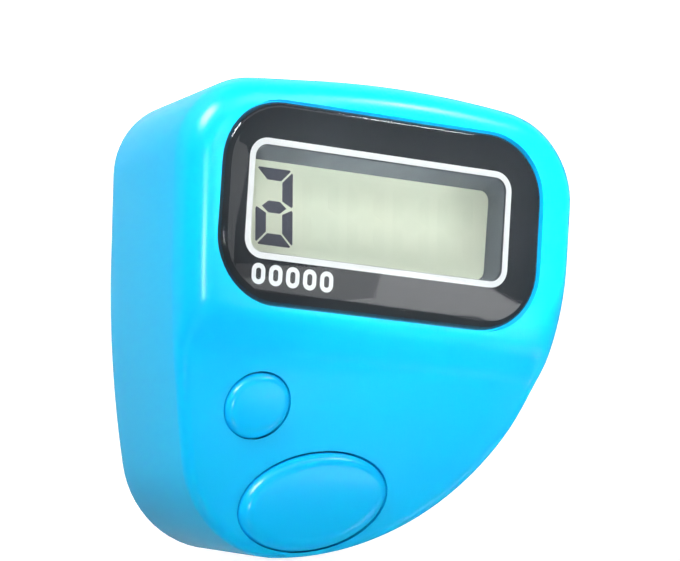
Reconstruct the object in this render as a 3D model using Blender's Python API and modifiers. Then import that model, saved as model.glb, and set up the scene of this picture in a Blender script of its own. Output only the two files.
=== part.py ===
"""Digital finger counter, lying on its finger strap with the display facing up.

Frame: +Z leaves the front face, +Y is the top of the display, +X is to its right.
The origin is under the middle of the case, on the surface that the strap rests on.
"""

import math

import bmesh
import bpy
from mathutils import Matrix, Vector, geometry

MM = 0.001
OVERLAP = 0.3 * MM          # how far a joined shape runs into its neighbour
SEAT_GAP = 0.05 * MM        # between two pieces that rest on one another
RUN_GAP = 0.15 * MM         # around a piece that slides or drops into a pocket

OUTLINE_STEP = 1.0 * MM      # longest side of the visible outline's facets
COARSE_STEP = 3.0 * MM       # the same on inner and hidden walls
WELD_STEP = 0.01 * MM        # outline points closer than this are one point
ROUNDING_PASSES = 8          # until the front rounding meets the face within a micrometre

WINDOW_CENTRE = (-0.63 * MM, 8.45 * MM)
WINDOW_SIZE = (22.7 * MM, 8.25 * MM)
WINDOW_RADIUS = 1.0 * MM
# How far the window's walls close in on the liquid crystal: left, right, low, high.
WINDOW_FUNNEL = (0.3 * MM, 0.2 * MM, 0.3 * MM, 0.8 * MM)

# The lens reaches past the window on every side.
LENS_BORDER = (3.07 * MM, 3.23 * MM, 4.125 * MM, 3.525 * MM)    # left, right, low, high
LENS_LEFT = WINDOW_CENTRE[0] - WINDOW_SIZE[0] / 2 - LENS_BORDER[0]
LENS_RIGHT = WINDOW_CENTRE[0] + WINDOW_SIZE[0] / 2 + LENS_BORDER[1]
LENS_LOW = WINDOW_CENTRE[1] - WINDOW_SIZE[1] / 2 - LENS_BORDER[2]
LENS_HIGH = WINDOW_CENTRE[1] + WINDOW_SIZE[1] / 2 + LENS_BORDER[3]
LENS_CENTRE = ((LENS_LEFT + LENS_RIGHT) / 2, (LENS_LOW + LENS_HIGH) / 2)
LENS_SIZE = (LENS_RIGHT - LENS_LEFT, LENS_HIGH - LENS_LOW)
LENS_RADIUS = 5.2 * MM
LENS_THICK = 1.15 * MM
LENS_PROUD = 0.1 * MM
LENS_EDGE = 0.65 * MM       # rounding of its rim

# Case outline seen from the front, anticlockwise: corner x and y, rounding radius. The corners
# keep their distance from the lens's nearest side.
CASE_CORNERS = (
    (LENS_LEFT - 3.23 * MM, LENS_HIGH + 1.42 * MM, 6.8 * MM),
    (LENS_LEFT - 2.24 * MM, LENS_LOW - 4.16 * MM, 89.0 * MM),
    (LENS_LEFT + 1.38 * MM, LENS_LOW - 19.98 * MM, 8.7 * MM),
    (LENS_LEFT + 13.3 * MM, LENS_LOW - 18.8 * MM, 25.0 * MM),
    (LENS_RIGHT - 3.15 * MM, LENS_LOW - 13.61 * MM, 26.0 * MM),
    (LENS_RIGHT + 4.0 * MM, LENS_LOW + 0.65 * MM, 24.7 * MM),
    (LENS_RIGHT + 4.11 * MM, LENS_HIGH + 1.75 * MM, 7.3 * MM),
    (LENS_RIGHT - 11.44 * MM, LENS_HIGH + 3.35 * MM, 90.0 * MM),
)
CASE_DEPTH = 17.3 * MM
CASE_WALL = 1.5 * MM
CASE_DRAFT = 0.7 * MM       # how much narrower the case is at its back
BACK_RADIUS = 2.6 * MM
SEAM_HEIGHT = 1.0 * MM      # of the joint line above the back face, on the rounded edge
PLATEAU_RADIUS = 3.0 * MM   # rounding of the front edge beside the display
FACE_RADIUS = 0.9 * MM      # the least rounding, beside the low end of the face
STEP_TOP_Y = LENS_LOW - 0.4 * MM   # where the face starts to fall away below the display
STEP_LENGTH = 3.6 * MM
STEP_DROP = 1.5 * MM
FACE_SLOPE = 0.09           # further fall of the lower face towards the tip
DISPLAY_WALL = 2.4 * MM     # front wall behind the display plateau

FRAME_LIP = 0.8 * MM        # wall of the display frame around the window
FRAME_WALL = 0.9 * MM       # wall of the display frame around the glass
GLASS_DEPTH = 3.45 * MM     # from the plateau to the front of the liquid crystal stack
GLASS_MARGIN = (1.0 * MM, 0.9 * MM)
GLASS_LEDGE = 2.3 * MM      # contact ledge below the rear glass
GLASS_THICK = 0.55 * MM
FILM_THICK = 0.15 * MM
FILM_GAP = 0.03 * MM
FILM_INSET = 0.5 * MM       # of the film and the reflector from the glass's sides
ZEBRA_WIDTH = 1.6 * MM
PAD_SIZE = (18.0 * MM, 5.0 * MM)

BOARD_DEPTH = 7.2 * MM      # from the plateau to the front of the circuit board
BOARD_THICK = 1.0 * MM
BOARD_CLEARANCE = 0.4 * MM

COUNT_CENTRE = (LENS_LEFT + 11.09 * MM, LENS_LOW - 14.67 * MM)
COUNT_RADII = (6.6 * MM, 3.75 * MM)
COUNT_TILT = math.radians(14.4)
COUNT_PROUD = 0.75 * MM
COUNT_EDGE = 1.1 * MM
COUNT_TRAVEL = 1.1 * MM
COUNT_SWITCH = (COUNT_CENTRE[0] + 0.7 * MM, COUNT_CENTRE[1] + 1.75 * MM)
COUNT_STEM_RADIUS = 1.4 * MM
RESET_CENTRE = (LENS_LEFT + 5.32 * MM, LENS_LOW - 7.66 * MM)
RESET_RADII = (2.9 * MM, 2.45 * MM)
RESET_TILT = math.radians(30.8)
RESET_PROUD = 0.55 * MM
RESET_EDGE = 0.8 * MM
RESET_TRAVEL = 0.8 * MM
RESET_SWITCH = RESET_CENTRE
RESET_STEM_RADIUS = 1.0 * MM
BUTTON_GAP = 0.1 * MM
FLANGE_WIDTH = 0.5 * MM
FLANGE_THICK = 0.8 * MM
MAT_THICK = 0.6 * MM
MAT_RADIUS = 2.9 * MM
DOME_HEIGHT = 1.5 * MM
COUNT_DOME_RADIUS = 2.3 * MM
RESET_DOME_RADIUS = 1.9 * MM

BOSS_RADIUS = 1.7 * MM
CASE_BOSSES = {
    "case_screw_right": (LENS_RIGHT - 6.35 * MM, LENS_LOW - 6.8 * MM),
    "case_screw_left": (LENS_CENTRE[0] - 3.2 * MM, LENS_LOW - 5.2 * MM),
}
CASE_SCREW_RADIUS = 0.8 * MM
CASE_SCREW_HEAD = (1.4 * MM, 1.0 * MM)
CASE_SCREW_BITE = 3.4 * MM
PILLAR_WALL = 0.8 * MM
PILLAR_SHELF = 1.5 * MM
SMALL_BOSS_RADIUS = 1.25 * MM
BOARD_SCREW_RADIUS = 0.55 * MM
BOARD_SCREW_HEAD = (1.05 * MM, 0.7 * MM)
FRAME_RIGHT = WINDOW_CENTRE[0] + WINDOW_SIZE[0] / 2 + GLASS_MARGIN[0] + RUN_GAP + FRAME_WALL
BOARD_BOSSES = {
    "board_screw_top": (FRAME_RIGHT + SMALL_BOSS_RADIUS + RUN_GAP, LENS_CENTRE[1] + 2.85 * MM),
    "board_screw_side": (FRAME_RIGHT + SMALL_BOSS_RADIUS + RUN_GAP, LENS_CENTRE[1] - 4.55 * MM),
    "board_screw_middle": (LENS_CENTRE[0] + 1.55 * MM, LENS_LOW - 3.6 * MM),
}
BOARD_SCREW_BITE = 2.8 * MM
SCREW_CLEARANCE = 0.05 * MM

CELL_CENTRE = (LENS_RIGHT - 10.35 * MM, LENS_LOW + 5.0 * MM)
CELL_RADIUS = 5.8 * MM
CELL_THICK = 3.05 * MM
CELL_RIM = 0.25 * MM
HOLDER_WALL = 0.9 * MM
CONTACT_THICK = 0.25 * MM
CONTACT_WIDTH = 3.4 * MM
CHIP_RADIUS = 4.0 * MM
CHIP_HEIGHT = 1.3 * MM
CHIP_CLEARANCE = 2.4 * MM   # between cell and chip, for the holder and the contact's foot
CHIP_CENTRE = (CELL_CENTRE[0] - CELL_RADIUS - CHIP_CLEARANCE - CHIP_RADIUS, CELL_CENTRE[1] + 1.0 * MM)
CAPACITOR_CENTRE = (CHIP_CENTRE[0] + 0.4 * MM, CHIP_CENTRE[1] - 7.2 * MM)
CAPACITOR_SIZE = (1.0 * MM, 2.0 * MM, 0.9 * MM)
RESISTOR_CENTRE = (CHIP_CENTRE[0] + 3.6 * MM, CHIP_CENTRE[1] - 7.2 * MM)
RESISTOR_SIZE = (0.8 * MM, 1.6 * MM, 0.45 * MM)

TONGUE_HEIGHT = 2.0 * MM    # of the back cover's lip above the seam
TONGUE_WALL = 0.9 * MM
COVER_FLOOR = 1.6 * MM
HOOK_SIZE = (3.2 * MM, 0.35 * MM, 0.6 * MM)
HOOK_PLACES = (-7.5 * MM, 7.5 * MM)

LOOP_WIDTH = 16.5 * MM      # finger room across the strap
LOOP_HEIGHT = 14.0 * MM     # finger room from the strap's floor to the back cover
LOOP_CENTRE = (1.0 * MM, 3.5 * MM)    # under the counter's weight
STRAP_THICK = 1.2 * MM
STRAP_WIDTH = 12.0 * MM
STRAP_CORNER = 3.5 * MM
STRAP_TAB = 5.2 * MM
STRAP_TAB_RADIUS = 2.5 * MM
STRAP_TAB_CORNER = 1.3 * MM
STRAP_HOLE_PITCH = 2.0 * MM
STRAP_EYE_RADIUS = 1.6 * MM
PIN_RADIUS = 0.7 * MM
PIN_DROP = 1.9 * MM         # from the back face down to the hinge axis
LUG_THICK = 1.8 * MM
STUD_RADIUS = 0.85 * MM
STUD_CLEARANCE = 0.2 * MM

# Levels, from the driving dimensions.
BACK_Z = STRAP_THICK + LOOP_HEIGHT
FRONT_Z = BACK_Z + CASE_DEPTH
EDGE_Z = FRONT_Z - PLATEAU_RADIUS
SEAM_Z = BACK_Z + SEAM_HEIGHT
LENS_FLOOR_Z = FRONT_Z + LENS_PROUD - LENS_THICK - SEAT_GAP
GLASS_Z = FRONT_Z - GLASS_DEPTH
BOARD_TOP_Z = FRONT_Z - BOARD_DEPTH
BOARD_LOW_Z = BOARD_TOP_Z - BOARD_THICK
CAVITY_INSET = CASE_DRAFT + CASE_WALL

COLOURS = {
    "cyan_plastic": ((0.01, 0.55, 0.98), 0.28, 0.0),
    "lens_acrylic": ((0.03, 0.04, 0.05), 0.05, 0.0),
    "dark_plastic": ((0.06, 0.07, 0.08), 0.5, 0.0),
    "lcd_glass": ((0.72, 0.78, 0.66), 0.1, 0.0),
    "lcd_film": ((0.7, 0.75, 0.62), 0.3, 0.0),
    "reflector_film": ((0.75, 0.77, 0.7), 0.35, 0.3),
    "zebra_rubber": ((0.75, 0.6, 0.62), 0.6, 0.0),
    "foam": ((0.12, 0.12, 0.12), 0.95, 0.0),
    "board_green": ((0.02, 0.2, 0.06), 0.45, 0.0),
    "epoxy_black": ((0.01, 0.01, 0.01), 0.35, 0.0),
    "ceramic_tan": ((0.45, 0.3, 0.17), 0.5, 0.0),
    "silicone": ((0.7, 0.72, 0.72), 0.55, 0.0),
    "cell_steel": ((0.7, 0.7, 0.68), 0.25, 1.0),
    "contact_steel": ((0.75, 0.73, 0.65), 0.3, 1.0),
    "screw_steel": ((0.5, 0.5, 0.5), 0.35, 1.0),
    "strap_rubber": ((0.01, 0.5, 0.92), 0.5, 0.0),
}


def clear_scene():
    """Remove every object of the open file."""
    for old in list(bpy.data.objects):
        bpy.data.objects.remove(old, do_unlink=True)


def make_collections():
    """Give the collection of the counter's parts and the one of its cutters."""
    made = []
    for name in ("digital_finger_counter", "cutters"):
        group = bpy.data.collections.new(name)
        bpy.context.scene.collection.children.link(group)
        made.append(group)
    return made


def material(name):
    """Give the named material, made once from COLOURS."""
    found = bpy.data.materials.get(name)
    if found:
        return found
    colour, roughness, metallic = COLOURS[name]
    made = bpy.data.materials.new(name)
    made.use_nodes = True
    shader = made.node_tree.nodes["Principled BSDF"]
    shader.inputs["Base Color"].default_value = (*colour, 1.0)
    shader.inputs["Roughness"].default_value = roughness
    shader.inputs["Metallic"].default_value = metallic
    made.diffuse_color = (*colour, 1.0)
    return made


clear_scene()
PARTS, CUTTERS = make_collections()


def add_object(name, shape, finish=None):
    """Turn a bmesh into an object: a part with a finish, or a helper shape without one."""
    bmesh.ops.recalc_face_normals(shape, faces=shape.faces)
    mesh = bpy.data.meshes.new(name)
    shape.to_mesh(mesh)
    shape.free()
    return place_mesh(name, mesh, finish)


def place_mesh(name, mesh, finish):
    """Link a mesh as a part or as a hidden helper."""
    made = bpy.data.objects.new(name, mesh)
    if finish is None:
        CUTTERS.objects.link(made)
        made.hide_render = True
        made.display_type = "WIRE"
        return made
    PARTS.objects.link(made)
    mesh.materials.append(material(finish))
    mesh.shade_smooth()
    mesh.set_sharp_from_angle(angle=math.radians(32))
    return made


def combine(target, operation, helpers):
    """Add one exact Boolean modifier to the target for each helper shape."""
    for helper in helpers:
        step = target.modifiers.new(helper.name, "BOOLEAN")
        step.operation = operation
        step.solver = "EXACT"
        step.object = helper


def cut(target, *helpers):
    """Take the helper shapes out of the target."""
    combine(target, "DIFFERENCE", helpers)


def join(target, *helpers):
    """Add the helper shapes to the target."""
    combine(target, "UNION", helpers)


def cylinder(name, centre, radius, low, high, finish=None, sides=24, top_radius=None):
    """Make an upright cylinder, or a cone with another radius at its top."""
    shape = bmesh.new()
    upper = radius if top_radius is None else top_radius
    bmesh.ops.create_cone(shape, cap_ends=True, segments=sides, radius1=radius, radius2=upper,
                          depth=high - low)
    bmesh.ops.translate(shape, verts=shape.verts, vec=(centre[0], centre[1], (low + high) / 2))
    return add_object(name, shape, finish)


def block(name, low, high, finish=None, bevel=0.0):
    """Make a box between two opposite corners."""
    shape = bmesh.new()
    bmesh.ops.create_cube(shape, size=1.0)
    size = [b - a for a, b in zip(low, high)]
    middle = [(a + b) / 2 for a, b in zip(low, high)]
    bmesh.ops.scale(shape, verts=shape.verts, vec=size)
    bmesh.ops.translate(shape, verts=shape.verts, vec=middle)
    made = add_object(name, shape, finish)
    if bevel:
        edge = made.modifiers.new("edges", "BEVEL")
        edge.width = bevel
        edge.segments = 2
    return made


def loft(rings):
    """Skin closed rings of equal length, listed from the bottom up, and cap both ends."""
    shape = bmesh.new()
    layers = [[shape.verts.new(point) for point in ring] for ring in rings]
    count = len(layers[0])
    for lower, upper in zip(layers, layers[1:]):
        for i in range(count):
            j = (i + 1) % count
            shape.faces.new((lower[i], lower[j], upper[j], upper[i]))
    shape.faces.new(list(reversed(layers[0])))
    shape.faces.new(layers[-1])
    return shape


def prism(name, outline, low, high, finish=None):
    """Raise a flat outline between two heights."""
    rings = [[(x, y, z) for x, y in outline] for z in (low, high)]
    return add_object(name, loft(rings), finish)


def side_prism(name, outline, near, far, finish=None):
    """Raise an outline of x and z values along Y."""
    rings = [[(x, y, z) for x, z in outline] for y in (near, far)]
    return add_object(name, loft(rings), finish)


def turned(name, centre, profile, finish, steps=24):
    """Turn a profile of (radius, height) points, listed from the top down, about a Z axis."""
    mesh = bpy.data.meshes.new(name)
    points = [(radius, 0.0, height) for radius, height in profile]
    mesh.from_pydata(points, [(i, i + 1) for i in range(len(points) - 1)], [])
    made = place_mesh(name, mesh, finish)
    made.location = (centre[0], centre[1], 0.0)
    spin = made.modifiers.new("turn", "SCREW")
    spin.angle = math.tau
    spin.steps = steps
    spin.render_steps = steps
    spin.use_merge_vertices = True
    spin.merge_threshold = 0.005 * MM
    return made


def arc(centre, radius, start, turn, step=math.radians(6)):
    """Points and outward directions along an arc."""
    count = max(2, math.ceil(abs(turn) / step))
    found = []
    for i in range(count + 1):
        angle = start + turn * i / count
        out = (math.cos(angle), math.sin(angle))
        found.append(((centre[0] + radius * out[0], centre[1] + radius * out[1]), out))
    return found


def half_angle(back, ahead):
    """Half the angle between two unit directions."""
    return math.acos(max(-1.0, min(1.0, back.dot(ahead)))) / 2


def fitting_radii(corners):
    """The corners' radii, smaller where two neighbours need more than the side between them."""
    spots = [Vector(corner[:2]) for corner in corners]
    ahead = [(b - a).normalized() for a, b in zip(spots, spots[1:] + spots[:1])]
    reach = [corner[2] / math.tan(half_angle(-ahead[i - 1], ahead[i]))
             for i, corner in enumerate(corners)]
    share = []
    for i, spot in enumerate(spots):
        side = (spots[i - 1] - spot).length
        share.append(min(1.0, side / (reach[i - 1] + reach[i])))
    return [corner[2] * min(share[i], share[(i + 1) % len(corners)])
            for i, corner in enumerate(corners)]


def rounded_outline(corners, longest=None, step=math.radians(6)):
    """Round each corner of an anticlockwise outline; give points with outward directions."""
    found = []
    total = len(corners)
    for i, radius in enumerate(fitting_radii(corners)):
        here = Vector(corners[i][:2])
        back = (Vector(corners[i - 1][:2]) - here).normalized()
        ahead = (Vector(corners[(i + 1) % total][:2]) - here).normalized()
        half = half_angle(back, ahead)
        middle = here + (back + ahead).normalized() * (radius / math.sin(half))
        first = here + back * (radius / math.tan(half)) - middle
        fine = step if longest is None else min(step, longest / radius)
        found += arc(middle, radius, math.atan2(first.y, first.x), math.pi - 2 * half, fine)
    return found if longest is None else fill_runs(found, longest)


def fill_runs(outline, longest):
    """Add points along the straight runs of an outline so that none is over the length."""
    filled = []
    for (start, out), (end, _) in zip(outline, outline[1:] + outline[:1]):
        run = math.dist(start, end)
        pieces = max(1, math.ceil(run / longest - 1e-6))
        for k in range(pieces):
            part = k / pieces
            point = tuple(a + (b - a) * part for a, b in zip(start, end))
            if not filled or math.dist(filled[-1][0], point) > WELD_STEP:
                filled.append((point, out))
    if math.dist(filled[-1][0], filled[0][0]) < WELD_STEP:
        filled.pop()
    return filled


def inset(outline, distance):
    """Move an outline's points inwards."""
    return [(p[0] - n[0] * distance, p[1] - n[1] * distance) for p, n in outline]


def ring_at(points, height):
    """Lift flat points to a height, a number or a function of y."""
    level = height if callable(height) else (lambda y: height)
    return [(x, y, level(y)) for x, y in points]


def rounded_box(centre, size, radius, step=math.radians(15)):
    """Outline of a rectangle with rounded corners."""
    x, y = centre
    w, h = size[0] / 2, size[1] / 2
    corners = [(x + w, y + h, radius), (x - w, y + h, radius),
               (x - w, y - h, radius), (x + w, y - h, radius)]
    return rounded_outline(corners, step=step)


def ellipse(centre, radii, tilt, grow=0.0, count=48):
    """Points and outward directions of a tilted ellipse that is grown all round."""
    found = []
    for i in range(count):
        angle = math.tau * i / count
        x, y = radii[0] * math.cos(angle), radii[1] * math.sin(angle)
        out = Vector((math.cos(angle) / radii[0], math.sin(angle) / radii[1])).normalized()
        spot = Matrix.Rotation(tilt, 2) @ (Vector((x, y)) + out * grow)
        out = Matrix.Rotation(tilt, 2) @ out
        found.append(((centre[0] + spot.x, centre[1] + spot.y), (out.x, out.y)))
    return found


def stadium(first, second, radius, step=math.radians(20)):
    """Outline of the band between two equal circles."""
    along = math.atan2(second[1] - first[1], second[0] - first[0])
    ends = arc(first, radius, along + math.pi / 2, math.pi, step)
    ends += arc(second, radius, along - math.pi / 2, math.pi, step)
    return [point for point, _ in ends]


def ribbon(path, thickness):
    """Outline of a strip that follows a path of (x, z) points."""
    sides = ([], [])
    for i, here in enumerate(path):
        before = Vector(path[max(i - 1, 0)])
        after = Vector(path[min(i + 1, len(path) - 1)])
        run_in = (Vector(here) - before).normalized() if i else (after - Vector(here)).normalized()
        run_out = (after - Vector(here)).normalized() if i < len(path) - 1 else run_in
        middle = (run_in + run_out).normalized()
        reach = thickness / 2 / max(0.5, middle.dot(run_in))
        normal = Vector((-middle.y, middle.x)) * reach
        sides[0].append(tuple(Vector(here) + normal))
        sides[1].append(tuple(Vector(here) - normal))
    return sides[1] + sides[0][::-1]


def step_share(y):
    """How much of the step below the display has been taken at this height: 0 to 1."""
    share = max(0.0, min(1.0, (STEP_TOP_Y - y) / STEP_LENGTH))
    return share * share * (3 - 2 * share)


def face_z(y):
    """Height of the front face at y: plateau, soft step, then the sloping lower face."""
    return FRONT_Z - STEP_DROP * step_share(y) - FACE_SLOPE * max(0.0, STEP_TOP_Y - y)


def edge_rounding(y, out_y):
    """Start level and radius of the front rounding, so that it ends on the face.

    The face is read where the rounding ends, which depends on the radius, so this is repeated.
    """
    radius = PLATEAU_RADIUS
    for _ in range(ROUNDING_PASSES):
        level = face_z(y - out_y * radius)
        low = min(EDGE_Z, level - FACE_RADIUS)
        radius = level - low
    return low, radius


def ceiling_z(y):
    """Height of the cavity's ceiling, which follows the face without its step."""
    return FRONT_Z - DISPLAY_WALL - FACE_SLOPE * max(0.0, STEP_TOP_Y - y)


def face_rows():
    """The y values at which the face or the ceiling bends."""
    rows = 8
    return [STEP_TOP_Y - STEP_LENGTH * i / rows for i in range(rows + 1)]


def inside(point, outline):
    """Whether a flat point lies inside an outline."""
    hit = False
    for (x0, y0), (x1, y1) in zip(outline, outline[1:] + outline[:1]):
        if (y0 > point[1]) != (y1 > point[1]):
            if point[0] < x0 + (x1 - x0) * (point[1] - y0) / (y1 - y0):
                hit = not hit
    return hit


def cap_with_rows(shape, rim, rim_verts, rows, level):
    """Close a rim with a surface that bends along rows of constant y."""
    margin = OUTLINE_STEP / 4
    flat = [Vector(point) / MM for point in rim]
    xs = [point[0] for point in rim]
    for y in rows:
        x = min(xs)
        while x < max(xs):
            near = [(x - margin, y), (x + margin, y), (x, y - margin), (x, y + margin)]
            if all(inside(spot, rim) for spot in near):
                flat.append(Vector((x, y)) / MM)
            x += COARSE_STEP
    loop = [list(range(len(rim)))]
    points, _, faces, sources, _, _ = geometry.delaunay_2d_cdt(flat, [], loop, 1, 1e-6)
    verts = []
    for point, source in zip(points, sources):
        on_rim = [i for i in source if i < len(rim)]
        x, y = point[0] * MM, point[1] * MM
        verts.append(rim_verts[on_rim[0]] if on_rim else shape.verts.new((x, y, level(y))))
    for face in faces:
        shape.faces.new([verts[i] for i in face])


def case_rings(outline, seam_only):
    """Rings of the case's outer skin: from the back face up to the front edge's rounding.

    With seam_only the first ring is the seam on the rounded back edge.
    """
    rings = []
    turns = 5
    seam_turn = math.asin(1 - SEAM_HEIGHT / BACK_RADIUS)
    first = seam_turn if seam_only else math.pi / 2
    for k in range(turns):
        angle = first * (1 - k / turns)
        depth = CASE_DRAFT + BACK_RADIUS * (1 - math.cos(angle))
        rings.append(ring_at(inset(outline, depth), BACK_Z + BACK_RADIUS * (1 - math.sin(angle))))
    rings.append(ring_at(inset(outline, CASE_DRAFT), BACK_Z + BACK_RADIUS))
    turns = 7
    for k in range(turns + 1):
        angle = math.pi / 2 * k / turns
        ring = []
        for (x, y), (nx, ny) in outline:
            low, radius = edge_rounding(y, ny)
            depth = radius * (1 - math.cos(angle))
            ring.append((x - nx * depth, y - ny * depth, low + radius * math.sin(angle)))
        rings.append(ring)
    return rings


def case_block(name, outline, rings, rows, level, finish=None):
    """Skin the rings, close the bottom flat and the top with the bent face."""
    shape = bmesh.new()
    layers = [[shape.verts.new(point) for point in ring] for ring in rings]
    count = len(outline)
    for lower, upper in zip(layers, layers[1:]):
        for i in range(count):
            j = (i + 1) % count
            shape.faces.new((lower[i], lower[j], upper[j], upper[i]))
    shape.faces.new(list(reversed(layers[0])))
    rim = [(x, y) for x, y, _ in rings[-1]]
    cap_with_rows(shape, rim, layers[-1], rows, level)
    return add_object(name, shape, finish)


def cavity_block(name, outline, depth, low, above=0.0):
    """The space inside the case at an inset, from a height up to the sloping ceiling."""
    points = inset(outline, depth)
    rings = [ring_at(points, low), ring_at(points, lambda y: ceiling_z(y) + above)]
    return case_block(name, outline, rings, [STEP_TOP_Y], lambda y: ceiling_z(y) + above)


def button_hole(name, centre, radii, tilt, travel):
    """The hole for a button, deep enough for the stroke of its skirt in the case's side."""
    outline = ellipse(centre, radii, tilt, BUTTON_GAP)
    floor = ceiling_z(centre[1] - radii[0]) - OVERLAP - travel - RUN_GAP
    return prism(name, [point for point, _ in outline], floor, FRONT_Z + travel)


def make_front_shell(outline):
    """Moulded front half: plateau, lens recess, window, button holes and screw bosses."""
    shell = case_block("front_shell", outline, case_rings(outline, True), face_rows(), face_z,
                       "cyan_plastic")
    coarse = rounded_outline(CASE_CORNERS, COARSE_STEP, math.radians(10))
    cut(shell, cavity_block("case_cavity", coarse, CAVITY_INSET, BACK_Z - OVERLAP))
    for name, spot in {**CASE_BOSSES, **BOARD_BOSSES}.items():
        wide = BOSS_RADIUS if name in CASE_BOSSES else SMALL_BOSS_RADIUS
        root = ceiling_z(spot[1]) + 2 * OVERLAP
        join(shell, cylinder(name + "_boss", spot, wide, BOARD_TOP_Z + SEAT_GAP, root))
    for name, spot in {**CASE_BOSSES, **BOARD_BOSSES}.items():
        big = name in CASE_BOSSES
        hole = (CASE_SCREW_RADIUS if big else BOARD_SCREW_RADIUS) + SCREW_CLEARANCE
        bite = CASE_SCREW_BITE if big else BOARD_SCREW_BITE
        top = BOARD_TOP_Z + bite + RUN_GAP
        cut(shell, cylinder(name + "_hole", spot, hole, BOARD_LOW_Z, top, sides=16))
    pocket = rounded_box(LENS_CENTRE, [s + 2 * RUN_GAP for s in LENS_SIZE],
                         LENS_RADIUS + RUN_GAP, math.radians(7.5))
    cut(shell, prism("lens_recess", [p for p, _ in pocket], LENS_FLOOR_Z, FRONT_Z + LENS_THICK))
    window = rounded_box(WINDOW_CENTRE, [s + 2 * (FRAME_LIP + RUN_GAP) for s in WINDOW_SIZE],
                         WINDOW_RADIUS + FRAME_LIP + RUN_GAP)
    cut(shell, prism("shell_window", [p for p, _ in window], BOARD_TOP_Z, FRONT_Z))
    cut(shell, button_hole("count_hole", COUNT_CENTRE, COUNT_RADII, COUNT_TILT, COUNT_TRAVEL))
    cut(shell, button_hole("reset_hole", RESET_CENTRE, RESET_RADII, RESET_TILT, RESET_TRAVEL))
    cut(shell, *(hook_shape(f"hook_pocket_{i}", x, outline, RUN_GAP)
                 for i, x in enumerate(HOOK_PLACES, 1)))
    return shell


def top_wall_y(x, outline, depth):
    """The y of the case's top side at x, at an inset."""
    upper = [p for p in inset(outline, depth) if p[1] > 0]
    return min(upper, key=lambda p: abs(p[0] - x))[1]


def hook_shape(name, x, outline, grow):
    """A catch on the back cover's lip, or with some growth the pocket that it snaps into."""
    wide, out, tall = HOOK_SIZE
    wall = top_wall_y(x, outline, CAVITY_INSET)
    top = SEAM_Z + TONGUE_HEIGHT - RUN_GAP
    low = (x - wide / 2 - grow, wall - TONGUE_WALL, top - tall - grow)
    high = (x + wide / 2 + grow, wall + out - RUN_GAP + grow, top + grow)
    return block(name, low, high)


def make_back_cover(outline):
    """Back half: rounded edge below the seam, lip, catches, screw pillars, hinge lugs, stud."""
    turns = 4
    seam_turn = math.asin(1 - SEAM_HEIGHT / BACK_RADIUS)
    rings = []
    for k in range(turns + 1):
        angle = math.pi / 2 + (seam_turn - math.pi / 2) * k / turns
        depth = CASE_DRAFT + BACK_RADIUS * (1 - math.cos(angle))
        low = BACK_Z + BACK_RADIUS * (1 - math.sin(angle)) - SEAT_GAP * (k == turns)
        rings.append(ring_at(inset(outline, depth), low))
    lip = CAVITY_INSET + RUN_GAP
    rings.append(ring_at(inset(outline, lip), SEAM_Z - SEAT_GAP))
    rings.append(ring_at(inset(outline, lip), SEAM_Z + TONGUE_HEIGHT))
    rings.append(ring_at(inset(outline, lip + TONGUE_WALL), SEAM_Z + TONGUE_HEIGHT))
    rings.append(ring_at(inset(outline, lip + TONGUE_WALL + OVERLAP), BACK_Z + COVER_FLOOR))
    cover = add_object("back_cover", loft(rings), "cyan_plastic")
    join(cover, *(hook_shape(f"hook_{i}", x, outline, 0.0) for i, x in enumerate(HOOK_PLACES, 1)))
    bore = CASE_SCREW_HEAD[0] + RUN_GAP
    shelf_top = BOARD_LOW_Z - SEAT_GAP
    shelf_low = shelf_top - PILLAR_SHELF
    for name, spot in CASE_BOSSES.items():
        wide = bore + PILLAR_WALL
        join(cover, cylinder(name + "_pillar", spot, wide, BACK_Z + COVER_FLOOR / 2, shelf_top))
    for name, spot in CASE_BOSSES.items():
        cut(cover, cylinder(name + "_bore", spot, bore, BACK_Z - OVERLAP, shelf_low))
        through = CASE_SCREW_RADIUS + RUN_GAP
        cut(cover, cylinder(name + "_way", spot, through, shelf_low - OVERLAP,
                            shelf_top + OVERLAP, sides=16))
    pin_x, pin_z = pin_place()
    for side in (-1, 1):
        near = LOOP_CENTRE[1] + side * (STRAP_WIDTH / 2 + RUN_GAP)
        far = near + side * LUG_THICK
        join(cover, side_prism(f"lug_{side}", lug_outline(), min(near, far), max(near, far)))
    far = STRAP_WIDTH / 2 + RUN_GAP + LUG_THICK + OVERLAP
    cut(cover, side_cylinder("pin_way", pin_x, pin_z, PIN_RADIUS + FILM_GAP,
                             LOOP_CENTRE[1] - far, LOOP_CENTRE[1] + far))
    join(cover, cylinder("stud", (stud_x(), LOOP_CENTRE[1]), STUD_RADIUS * 0.8, stud_low_z(),
                         BACK_Z + COVER_FLOOR / 2, top_radius=STUD_RADIUS))
    return cover


def side_cylinder(name, x, z, radius, near, far, finish=None, sides=24):
    """A cylinder along Y."""
    shape = bmesh.new()
    bmesh.ops.create_cone(shape, cap_ends=True, segments=sides, radius1=radius, radius2=radius,
                          depth=far - near)
    turn = Matrix.Rotation(math.pi / 2, 3, "X")
    bmesh.ops.rotate(shape, verts=shape.verts, matrix=turn)
    bmesh.ops.translate(shape, verts=shape.verts, vec=(x, (near + far) / 2, z))
    return add_object(name, shape, finish)


def pin_place():
    """The hinge axis, over the middle of the strap's left side."""
    return LOOP_CENTRE[0] - (LOOP_WIDTH + STRAP_THICK) / 2, BACK_Z - PIN_DROP


def stud_x():
    """The stud stands under the first hole of the strap's tab."""
    return strap_right_x() + STRAP_TAB_CORNER + STUD_RADIUS + STUD_CLEARANCE + RUN_GAP


def strap_right_x():
    """Middle of the strap's right side."""
    return LOOP_CENTRE[0] + (LOOP_WIDTH + STRAP_THICK) / 2


def tab_z():
    """Middle of the strap's tab, just under the back cover."""
    return BACK_Z - RUN_GAP - STRAP_THICK / 2


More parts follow.
